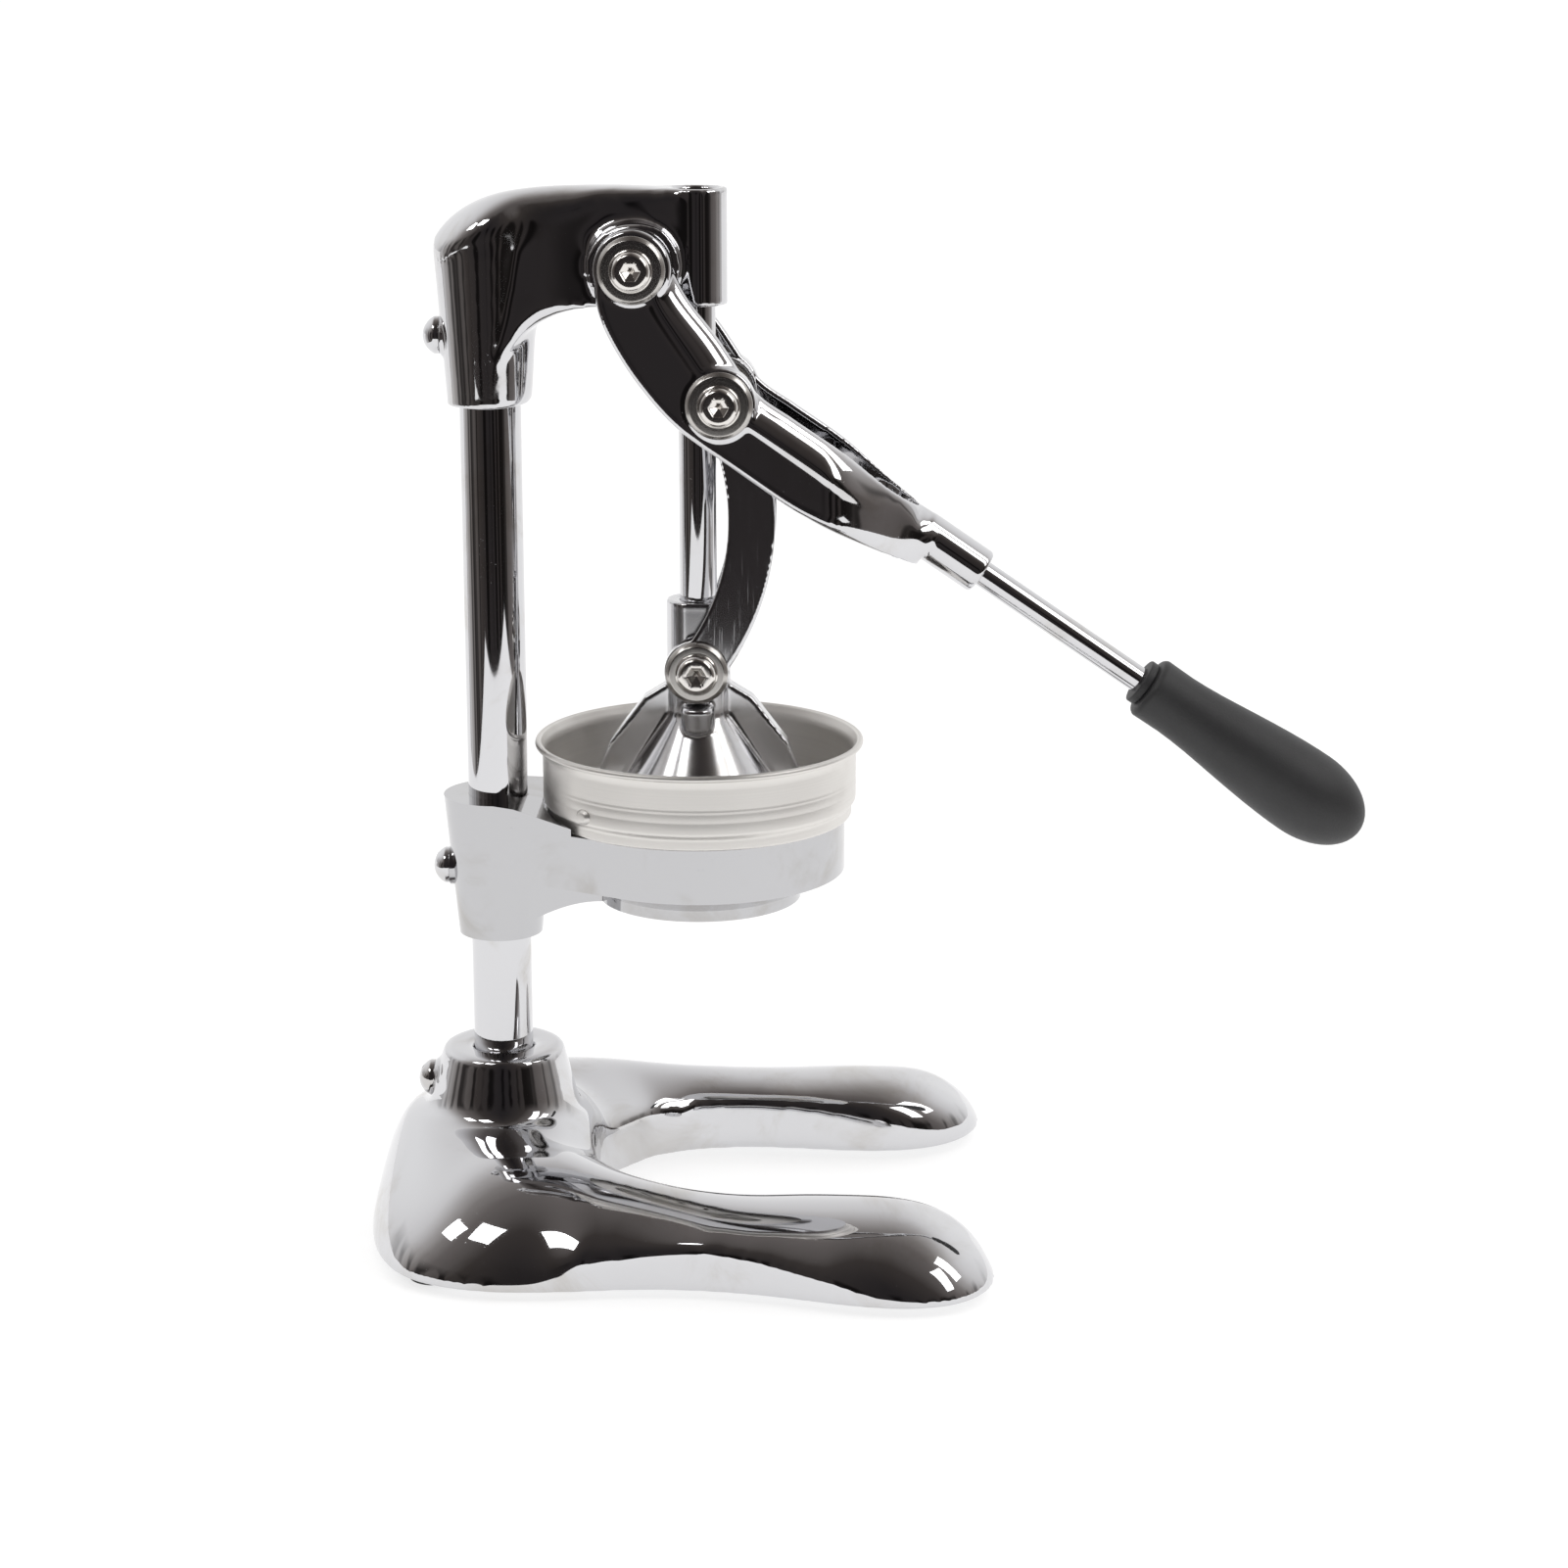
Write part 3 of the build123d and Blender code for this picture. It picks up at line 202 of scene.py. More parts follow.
class PressFinish(bpy.types.PropertyGroup):
    """Colours and gloss of the finishes."""

    chrome: bpy.props.FloatVectorProperty(
        name="Chrome", description="Tint of the plating",
        default=(0.66, 0.66, 0.675), subtype="COLOR", size=3,
    )
    chrome_haze: bpy.props.FloatVectorProperty(
        name="Chrome haze", description="Tint where hands dulled it",
        default=(0.56, 0.545, 0.53), subtype="COLOR", size=3,
    )
    steel: bpy.props.FloatVectorProperty(
        name="Turned steel", description="Tint of screws and washers",
        default=(0.62, 0.60, 0.575), subtype="COLOR", size=3,
    )
    cup_steel: bpy.props.FloatVectorProperty(
        name="Cup steel", description="Tint of the satin cup",
        default=(0.84, 0.82, 0.79), subtype="COLOR", size=3,
    )
    brass: bpy.props.FloatVectorProperty(
        name="Bush brass", description="Tint of the bushes",
        default=(0.72, 0.55, 0.26), subtype="COLOR", size=3,
    )
    grip: bpy.props.FloatVectorProperty(
        name="Grip", description="Colour of the moulded grip",
        default=(0.024, 0.024, 0.025), subtype="COLOR", size=3,
    )
    rubber: bpy.props.FloatVectorProperty(
        name="Rubber", description="Colour of the feet",
        default=(0.012, 0.012, 0.012), subtype="COLOR", size=3,
    )
    chrome_roughness: bpy.props.FloatProperty(
        name="Chrome roughness", description="Roughness of clean plating",
        default=0.035, subtype="FACTOR", min=0, max=1,
    )
    cup_roughness: bpy.props.FloatProperty(
        name="Cup roughness", description="Roughness of the satin cup",
        default=0.42, subtype="FACTOR", min=0, max=1,
    )


class PressStage(bpy.types.PropertyGroup):
    """Table, light and camera."""

    floor: bpy.props.FloatVectorProperty(
        name="Table", description="Colour of the table",
        default=(0.36, 0.36, 0.36), subtype="COLOR", size=3,
    )
    table_front: bpy.props.FloatProperty(
        name="Table front", description="How far the table reaches to the front",
        default=1.02, unit="LENGTH",
    )
    table_light: bpy.props.FloatProperty(
        name="Table light", description="Strength of the soft top light",
        default=1.35,
    )
    softbox_light: bpy.props.FloatProperty(
        name="Softboxes", description="Power of each softbox",
        default=3.0,
    )
    lens: bpy.props.FloatProperty(
        name="Lens", description="Camera lens in millimetres",
        default=79.17,
    )
    camera_tilt: bpy.props.FloatProperty(
        name="Camera tilt", description="Angle of the camera under the level",
        default=radians(14.7), subtype="ANGLE",
    )


# Mesh helpers


def turned(profile, steps=96, loop=False):
    """Points and faces of a profile of radius, height and an optional six-sided mark, turned round Z."""
    points = []
    rows = []
    faces = []
    for place in profile:
        radius, height = place[0], place[1]
        six = len(place) > 2
        if radius < 1e-7:
            rows.append([len(points)])
            points.append((0, 0, height))
            continue
        rows.append(range(len(points), len(points) + steps))
        for step in range(steps):
            angle = tau * step / steps
            reach = radius / cos(angle % (tau / 6) - tau / 12) if six else radius
            points.append((reach * cos(angle), reach * sin(angle), height))
    pairs = list(zip(rows, rows[1:]))
    if loop:
        pairs.append((rows[-1], rows[0]))
    for low, high in pairs:
        for step in range(steps):
            after = (step + 1) % steps
            if len(low) == 1:
                faces.append((low[0], high[after], high[step]))
            elif len(high) == 1:
                faces.append((low[step], low[after], high[0]))
            else:
                faces.append((low[step], low[after], high[after], high[step]))
    return points, faces


def eased(line, edge, steps=4, loop=False):
    """A line of radius and height with each of its corners rounded over a distance."""
    places = [Vector(place) for place in line]
    most_share = 0.45
    made = []
    count = len(places)
    for index, place in enumerate(places):
        if not loop and index in (0, count - 1):
            made.append(tuple(place))
            continue
        before = places[index - 1]
        after = places[(index + 1) % count]
        reach = min(edge, (before - place).length * most_share, (after - place).length * most_share)
        start = place + (before - place).normalized() * reach
        end = place + (after - place).normalized() * reach
        for step in range(steps + 1):
            share = step / steps
            made.append(tuple(start.lerp(place, share).lerp(place.lerp(end, share), share)))
    return made


def rod_line(radius, low, high, edge, steps=4):
    """Outline of a plain turned rod between two heights, with eased ends."""
    return eased([(0, low), (radius, low), (radius, high), (0, high)], edge, steps)


def joined(*shapes):
    """Several sets of points and faces as one."""
    points = []
    faces = []
    for some_points, some_faces in shapes:
        shift = len(points)
        points.extend(some_points)
        faces.extend([tuple(index + shift for index in face) for face in some_faces])
    return points, faces


def closed(mesh, distance, sharp, outwards=False):
    """The same mesh with points that lie together joined, smooth but for its sharp edges."""
    work = bmesh.new()
    work.from_mesh(mesh)
    bmesh.ops.remove_doubles(work, verts=work.verts, dist=distance)
    if outwards:
        bmesh.ops.recalc_face_normals(work, faces=work.faces)
    work.to_mesh(mesh)
    work.free()
    mesh.shade_smooth()
    mesh.set_sharp_from_angle(angle=sharp)
    return mesh


def shell_mesh(name, shape, place=Matrix.Identity(4), sharp=radians(40)):
    """A smooth mesh from points and faces, put in place and turned outwards."""
    mesh = bpy.data.meshes.new(name)
    mesh.from_pydata([place @ Vector(point) for point in shape[0]], [], shape[1])
    return closed(mesh, 1e-7, sharp, True)


def turn_marks(mesh, radii):
    """Keeps the radius of each point as an attribute, for rings that follow the turning."""
    marks = mesh.attributes.new("turn_radius", "FLOAT", "POINT")
    marks.data.foreach_set("value", np.asarray(radii, dtype=np.float32))


def merged_copy(name, node, sharp=radians(32)):
    """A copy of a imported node's mesh with its loose triangles joined."""
    mesh = packed_mesh(node).copy()
    mesh.name = name
    if mesh.attributes.get("custom_normal"):
        mesh.attributes.remove(mesh.attributes["custom_normal"])
    mesh.materials.clear()
    return closed(mesh, 2e-6, sharp)


def cast_skin(name, node, grain, rounds):
    """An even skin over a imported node, with its edges eased as a casting's are."""
    return even_skin(name, merged_copy(name + "_rough", node), grain, rounds)


def even_skin(name, shell, grain, rounds):
    """One even skin over a mesh of closed shells, which keeps their size."""
    rough = shown(name + "_rough", shell)
    skin = rough.modifiers.new("skin", "REMESH")
    skin.mode = "VOXEL"
    skin.voxel_size = grain
    depsgraph = bpy.context.evaluated_depsgraph_get()
    mesh = bpy.data.meshes.new_from_object(rough.evaluated_get(depsgraph))
    mesh.name = name
    bpy.data.objects.remove(rough)
    inward, back_out = 0.5, -0.53
    soften(mesh, rounds, (inward, back_out))
    mesh.shade_smooth()
    return mesh


def mesh_places(mesh):
    """The places of a mesh's points as rows."""
    places = np.empty(len(mesh.vertices) * 3, dtype=np.float32)
    mesh.vertices.foreach_get("co", places)
    return places.reshape(-1, 3).astype(np.float64)


def put_places(mesh, places):
    """Gives a mesh's points their places."""
    mesh.vertices.foreach_set("co", places.astype(np.float32).ravel())
    mesh.update()


def soften(mesh, rounds, moves=(0.5,), ease=None):
    """Moves every point towards its neighbours, or back, by shares that a rule may scale by place."""
    count = len(mesh.vertices)
    places = mesh_places(mesh)
    ends = np.empty(len(mesh.edges) * 2, dtype=np.int32)
    mesh.edges.foreach_get("vertices", ends)
    one, other = ends.reshape(-1, 2).T
    degree = np.bincount(one, minlength=count) + np.bincount(other, minlength=count)
    degree = np.maximum(degree, 1)[:, None]
    scale = np.ones((count, 1)) if ease is None else ease(places)[:, None]
    for move in moves * rounds:
        total = np.empty_like(places)
        for axis in range(3):
            there = np.bincount(one, weights=places[other, axis], minlength=count)
            back = np.bincount(other, weights=places[one, axis], minlength=count)
            total[:, axis] = there + back
        places += move * scale * (total / degree - places)
    put_places(mesh, places)


def ease_share(value, start, end):
    """Smooth share from 0 at start to 1 at end."""
    share = np.clip((value - start) / (end - start), 0, 1)
    return share * share * (3 - 2 * share)


def smooth_line(points, count):
    """Places spread evenly along a smooth curve through points."""
    places = np.asarray(points, dtype=float)
    ends = np.vstack([2 * places[0] - places[1], places, 2 * places[-1] - places[-2]])
    fine_steps = 24
    fine = []
    for before, start, end, after in zip(ends, ends[1:], ends[2:], ends[3:]):
        for share in np.linspace(0, 1, fine_steps, endpoint=False):
            pull = (end - before) * share
            bend = (2 * before - 5 * start + 4 * end - after) * share**2
            twist = (3 * start - before - 3 * end + after) * share**3
            fine.append(start + (pull + bend + twist) / 2)
    fine = np.array([*fine, places[-1]])
    along = np.concatenate([[0], np.cumsum(np.hypot(*np.diff(fine, axis=0).T))])
    wanted = np.linspace(0, along[-1], count)
    return np.column_stack([np.interp(wanted, along, fine[:, axis]) for axis in (0, 1)])


def shown(name, data):
    """A new object in the scene."""
    made = bpy.data.objects.new(name, data)
    bpy.context.scene.collection.objects.link(made)
    return made


def add_piece(name, mesh, body, material, nodes):
    """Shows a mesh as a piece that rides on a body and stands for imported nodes."""
    piece = shown(name, mesh)
    mesh.materials.clear()
    mesh.materials.append(material)
    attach(piece, body)
    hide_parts(*nodes)


def dress(node, material):
    """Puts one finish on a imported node."""
    materials = packed_mesh(node).materials
    materials.clear()
    materials.append(material)


# Node helpers


def feed(tree, socket, value):
    """Links a socket to another node's, or sets its own value."""
    if isinstance(value, bpy.types.NodeSocket):
        tree.links.new(value, socket)
    else:
        socket.default_value = value


def set_up(tree, node, **values):
    """Gives a node its settings, and its inputs by name with underscores for spaces."""
    for name, value in values.items():
        if hasattr(node, name):
            setattr(node, name, value)
        else:
            feed(tree, node.inputs[name.replace("_", " ")], value)
    return node


def add_node(tree, kind, **values):
    """A new node with its settings and inputs."""
    return set_up(tree, tree.nodes.new(kind), **values)


def maths(tree, operation, *values):
    """The result of one operation on sockets or numbers."""
    made = add_node(tree, "ShaderNodeMath", operation=operation)
    for socket, value in zip(made.inputs, values):
        feed(tree, socket, value)
    return made.outputs["Value"]


def ranged(tree, value, low, high, start=0.0, end=1.0, curve="LINEAR"):
    """A value mapped from start and end to low and high."""
    ends = {"From_Min": start, "From_Max": end, "To_Min": low, "To_Max": high}
    made = add_node(tree, "ShaderNodeMapRange", interpolation_type=curve, Value=value, **ends)
    return made.outputs["Result"]


def noise(tree, where, scale, detail, roughness=0.5, distortion=0.0):
    """Soft noise from place to place."""
    kind = {"Detail": detail, "Roughness": roughness, "Distortion": distortion}
    return add_node(tree, "ShaderNodeTexNoise", Vector=where, Scale=scale, **kind).outputs["Fac"]


def mixed(tree, mask, one, other, blend="MIX"):
    """A colour between two colours or sockets, by a mask."""
    pair = [part if isinstance(part, bpy.types.NodeSocket) else (*part, 1) for part in (one, other)]
    kind = {"data_type": "RGBA", "blend_type": blend}
    return add_node(tree, "ShaderNodeMix", **kind, Factor=mask, A=pair[0], B=pair[1]).outputs["Result"]


def bumped(tree, height, strength, distance):
    """A normal from a height."""
    made = add_node(tree, "ShaderNodeBump", Strength=strength, Distance=distance, Height=height)
    return made.outputs["Normal"]


def own_places(tree):
    """The places of a piece in its own frame."""
    return tree.nodes.new("ShaderNodeTexCoord").outputs["Object"]


# Geometry node tree that repeats a fastening


def repeat_on_points():
    """Tree that stands a piece on each point, turned along the point's facing, in one finish."""
    tree = bpy.data.node_groups.new("repeat_on_points", "GeometryNodeTree")
    sockets = (
        ("Points", "INPUT", "NodeSocketGeometry"),
        ("Piece", "INPUT", "NodeSocketObject"),
        ("Finish", "INPUT", "NodeSocketMaterial"),
        ("Pieces", "OUTPUT", "NodeSocketGeometry"),
    )
    for title, way, kind in sockets:
        tree.interface.new_socket(title, in_out=way, socket_type=kind)
    given = tree.nodes.new("NodeGroupInput").outputs
    source = add_node(tree, "GeometryNodeObjectInfo", Object=given["Piece"], As_Instance=True)
    facing = add_node(tree, "GeometryNodeInputNamedAttribute", data_type="FLOAT_VECTOR", Name="facing")
    align = add_node(
        tree, "FunctionNodeAlignRotationToVector", axis="Z", Vector=facing.outputs["Attribute"]
    )
    stand = add_node(
        tree,
        "GeometryNodeInstanceOnPoints",
        Points=given["Points"],
        Instance=source.outputs["Geometry"],
        Rotation=align.outputs["Rotation"],
    )
    real = add_node(tree, "GeometryNodeRealizeInstances", Geometry=stand.outputs["Instances"])
    finish = add_node(
        tree, "GeometryNodeSetMaterial", Geometry=real.outputs["Geometry"], Material=given["Finish"]
    )
    add_node(tree, "NodeGroupOutput", Pieces=finish.outputs["Geometry"])
    return tree


def repeated(name, mesh, places, facings, material):
    """One plain mesh of a fastening repeated at places, each with its own facing."""
    sample = shown(name + "_one", mesh)
    seats = bpy.data.meshes.new(name + "_seats")
    seats.from_pydata([Vector(place) for place in places], [], [])
    marks = seats.attributes.new("facing", "FLOAT_VECTOR", "POINT")
    marks.data.foreach_set("vector", np.asarray(facings, dtype=np.float32).ravel())
    carrier = shown(name + "_seats", seats)
    tree = bpy.data.node_groups.get("repeat_on_points") or repeat_on_points()
    modifier = carrier.modifiers.new("repeat", "NODES")
    modifier.node_group = tree
    keys = {item.name: item.identifier for item in tree.interface.items_tree if item.in_out == "INPUT"}
    modifier[keys["Piece"]] = sample
    modifier[keys["Finish"]] = material
    depsgraph = bpy.context.evaluated_depsgraph_get()
    made = bpy.data.meshes.new_from_object(carrier.evaluated_get(depsgraph))
    made.name = name
    carrier.modifiers.clear()
    bpy.data.objects.remove(carrier)
    bpy.data.objects.remove(sample)
    return made


# Shader node groups


def shader_group(name, inputs, outputs):
    """An empty shader group with named number sockets, and what it is given."""
    tree = bpy.data.node_groups.new(name, "ShaderNodeTree")
    for title, value in inputs.items():
        socket = tree.interface.new_socket(title, in_out="INPUT", socket_type="NodeSocketFloat")
        socket.default_value = value
    for title in outputs:
        tree.interface.new_socket(title, in_out="OUTPUT", socket_type="NodeSocketFloat")
    return tree, tree.nodes.new("NodeGroupInput").outputs


def place_group(tree, make, **values):
    """What a group gives; the group has its function's name and is made when first asked for."""
    group = bpy.data.node_groups.get(make.__name__) or make()
    return add_node(tree, "ShaderNodeGroup", node_tree=group, **values).outputs


def handling_marks():
    """Group: soft smudges, fine specks and a slow waviness of a plated surface."""
    inputs = {"Smudge Scale": 22.0, "Speck Scale": 420.0, "Wave Scale": 38.0}
    tree, given = shader_group("handling_marks", inputs, ("Smudge", "Specks", "Waves"))
    where = own_places(tree)
    smudge = noise(tree, where, given["Smudge Scale"], 5.0, 0.62, 0.7)
    cells = add_node(tree, "ShaderNodeTexVoronoi", Vector=where, Scale=given["Speck Scale"])
    dots = ranged(tree, cells.outputs["Distance"], 0.0, 1.0, 0.16, 0.06)
    sparse = ranged(tree, noise(tree, where, 60.0, 1.0), 0.0, 1.0, 0.60, 0.66)
    add_node(
        tree,
        "NodeGroupOutput",
        Smudge=ranged(tree, smudge, 0.0, 1.0, 0.50, 0.74, "SMOOTHSTEP"),
        Specks=maths(tree, "MULTIPLY", dots, sparse),
        Waves=noise(tree, where, given["Wave Scale"], 1.5, 0.4),
    )
    return tree


def turned_rings():
    """Group: fine rings left by turning, from the radius kept on the mesh."""
    inputs = {"Rings per Metre": 3600.0, "Unevenness": 0.35}
    tree, given = shader_group("turned_rings", inputs, ("Height", "Tone"))
    radius = add_node(tree, "ShaderNodeAttribute", attribute_name="turn_radius").outputs["Fac"]
    along = {"noise_dimensions": "1D", "W": maths(tree, "MULTIPLY", radius, given["Rings per Metre"])}
    uneven = given["Unevenness"]
    fine = add_node(tree, "ShaderNodeTexNoise", **along, Scale=1.0, Detail=3.0, Roughness=uneven)
    wide = add_node(tree, "ShaderNodeTexNoise", **along, Scale=0.22, Detail=1.0)
    add_node(tree, "NodeGroupOutput", Height=fine.outputs["Fac"], Tone=wide.outputs["Fac"])
    return tree


def fine_grain():
    """Group: pebbled grain of a moulded surface, with a slow change of tone."""
    inputs = {"Grain Scale": 1500.0, "Tone Scale": 45.0}
    tree, given = shader_group("fine_grain", inputs, ("Height", "Tone"))
    where = own_places(tree)
    grain = noise(tree, where, given["Grain Scale"], 2.0, 0.6)
    tone = noise(tree, where, given["Tone Scale"], 3.0, 0.6)
    add_node(tree, "NodeGroupOutput", Height=grain, Tone=tone)
    return tree


# Materials


def start_material(name, **values):
    """A new material with its Principled shader."""
    material = bpy.data.materials.new(name)
    material.use_nodes = True
    tree = material.node_tree
    return tree, set_up(tree, tree.nodes["Principled BSDF"], **values)


def toned(colour, share):
    """A darker or brighter colour."""
    return [min(1.0, part * share) for part in colour]


def chrome_material(name, roughness, haze, wave, smudge_scale=22.0, shade=1.0):
    """Bright plating with faint smudges, specks and a slow waviness."""
    finish = bpy.context.scene.press_finish
    tree, shader = start_material(name, Metallic=1.0)
    marks = place_group(tree, handling_marks, Smudge_Scale=smudge_scale)
    # A shade under one darkens both tints of the plating evenly; it is painted shade, not a different
    # metal
    clear, hazy = toned(finish.chrome, shade), toned(finish.chrome_haze, shade)
    speck_dulling = 0.18
    gloss = ranged(tree, marks["Smudge"], roughness, roughness + haze)
    set_up(
        tree,
        shader,
        Base_Color=mixed(tree, marks["Smudge"], clear, hazy),
        Roughness=maths(tree, "MULTIPLY_ADD", marks["Specks"], speck_dulling, gloss),
        Normal=bumped(tree, marks["Waves"], wave, 0.4 * mm),
    )


def link_material(name, clean, worn):
    """Plating of the links, scratched along their length and specked towards the press."""
    finish = bpy.context.scene.press_finish
    tree, shader = start_material(name, Metallic=1.0)
    marks = place_group(tree, handling_marks, Smudge_Scale=30.0, Speck_Scale=360.0)
    where = own_places(tree)
    lean = (0, radians(8), 0)
    stretch = add_node(tree, "ShaderNodeMapping", Vector=where, Rotation=lean, Scale=(1.0, 1.0, 0.045))
    scratch = ranged(tree, noise(tree, stretch.outputs["Vector"], 1400.0, 2.0), 0.0, 1.0, 0.60, 0.70)
    height = add_node(tree, "ShaderNodeSeparateXYZ", Vector=where).outputs["Z"]
    low = ranged(tree, height, 1.0, 0.12, press_pivot.z, press_pivot.z + 85.0 * mm)
    used = maths(tree, "MULTIPLY", scratch, low)
    dots = maths(tree, "MULTIPLY", marks["Specks"], low)
    both = maths(tree, "MAXIMUM", used, dots)
    set_up(
        tree,
        shader,
        Base_Color=mixed(tree, marks["Smudge"], finish.chrome, finish.chrome_haze),
        Roughness=ranged(tree, both, clean, worn),
        Normal=bumped(tree, both, 0.03, 0.05 * mm),
    )


def turned_steel_material(name, tint, roughness, rings, depth):
    """Turned steel with fine rings, brighter and smoother where it is polished."""
    tree, shader = start_material(name, Metallic=1.0)
    marks = place_group(tree, turned_rings, Rings_per_Metre=rings)
    polish = add_node(tree, "ShaderNodeAttribute", attribute_name="polish").outputs["Fac"]
    ringed = mixed(tree, marks["Tone"], toned(tint, 0.72), tint)
    gloss = ranged(tree, marks["Height"], roughness * 0.7, roughness * 1.4)
    set_up(
        tree,
        shader,
        Base_Color=mixed(tree, polish, ringed, toned(tint, 1.25)),
        Roughness=maths(tree, "MULTIPLY", gloss, ranged(tree, polish, 1.0, 0.6)),
        Normal=bumped(tree, marks["Height"], depth, 0.05 * mm),
    )


def plain_metal_material(name, tint, roughness):
    """Small bought metal parts, a little uneven in tint and gloss."""
    tree, shader = start_material(name, Metallic=1.0)
    marks = place_group(tree, handling_marks, Smudge_Scale=120.0, Speck_Scale=900.0)
    set_up(
        tree,
        shader,
        Base_Color=mixed(tree, marks["Smudge"], tint, toned(tint, 0.7)),
        Roughness=ranged(tree, marks["Smudge"], roughness, roughness + 0.15),
        Normal=bumped(tree, marks["Waves"], 0.08, 0.1 * mm),
    )


def satin_material(name, tint, roughness):
    """Satin steel spun on a lathe: fine level lines and a soft change of gloss."""
    tree, shader = start_material(name, Metallic=1.0)
    marks = place_group(tree, handling_marks, Smudge_Scale=26.0, Speck_Scale=300.0)
    flat = add_node(tree, "ShaderNodeMapping", Vector=own_places(tree), Scale=(6.0, 6.0, 900.0))
    lines = noise(tree, flat.outputs["Vector"], 1.0, 4.0, 0.65)
    smudge_dulling = 0.10
    gloss = ranged(tree, lines, roughness - 0.05, roughness + 0.06)
    set_up(
        tree,
        shader,
        Base_Color=mixed(tree, lines, toned(tint, 0.84), tint),
        Roughness=maths(tree, "MULTIPLY_ADD", marks["Smudge"], smudge_dulling, gloss),
        Normal=bumped(tree, lines, 0.10, 0.05 * mm),
    )


def moulded_material(name, tint, roughness, grain, strength):
    """Matt moulded plastic or rubber with a fine pebbled grain."""
    tree, shader = start_material(name)
    marks = place_group(tree, fine_grain, Grain_Scale=grain)
    lighter = [part * 1.7 + 0.004 for part in tint]
    set_up(
        tree,
        shader,
        Base_Color=mixed(tree, marks["Tone"], tint, lighter),
        Roughness=ranged(tree, marks["Height"], roughness - 0.08, roughness + 0.1),
        Normal=bumped(tree, marks["Height"], strength, 0.25 * mm),
    )


def table_material(name, tint):
    """Matt white table with a barely uneven tone."""
    tree, shader = start_material(name, Roughness=0.9, Specular_IOR_Level=0.1)
    marks = place_group(tree, fine_grain, Grain_Scale=400.0, Tone_Scale=3.0)
    glow = {"Emission_Color": (1.0, 1.0, 1.0, 1), "Emission_Strength": 0.73}
    set_up(tree, shader, Base_Color=mixed(tree, marks["Tone"], tint, toned(tint, 1.02)), **glow)


def finish_named(name):
    """The material of that name, made when it is first asked for."""
    finish = bpy.context.scene.press_finish
    gloss = finish.chrome_roughness
    finishes = {
        "cast_plating": (chrome_material, gloss, 0.05, 0.012),
        # The bracket's plating is the cast chrome darkened to 0.80 as painted shade, and a little rougher
        "bracket_plating": (chrome_material, gloss + 0.03, 0.06, 0.012, 22.0, 0.80),
        "bell_plating": (chrome_material, gloss + 0.12, 0.06, 0.010),
        "bar_plating": (chrome_material, gloss, 0.04, 0.008, 30.0),
        "link_plating": (link_material, 0.06, 0.15),
        "turned_steel": (turned_steel_material, finish.steel, 0.20, 2600.0, 0.035),
        "dull_steel": (plain_metal_material, finish.steel, 0.24),
        "bush_brass": (plain_metal_material, finish.brass, 0.25),
        "satin_cup": (satin_material, finish.cup_steel, finish.cup_roughness),
        "moulded_grip": (moulded_material, finish.grip, 0.52, 1500.0, 0.32),
        "foot_rubber": (moulded_material, finish.rubber, 0.70, 1100.0, 0.25),
        "white_table": (table_material, bpy.context.scene.press_stage.floor),
    }
    if name not in bpy.data.materials:
        make, *values = finishes[name]
        make(name, *values)
    return bpy.data.materials[name]


# Operators, one for each piece or group of like pieces


# How firm the base's outer shoulder and its edge over the notch are, by distance from the column in mm
shoulder_run = ((20, 0), (35, 0.72), (63, 0.88), (82, 1.0), (101, 0.88), (130, 0.53), (146, 0.2), (162, 0))
brink_run = ((120, 1.0), (150, 0.75), (170, 0.35), (185, 0.1), (200, 0))


def firmness(run, along):
    """How firm an edge of the base is at distances from the column in mm."""
    return np.interp(along, *np.transpose(run))


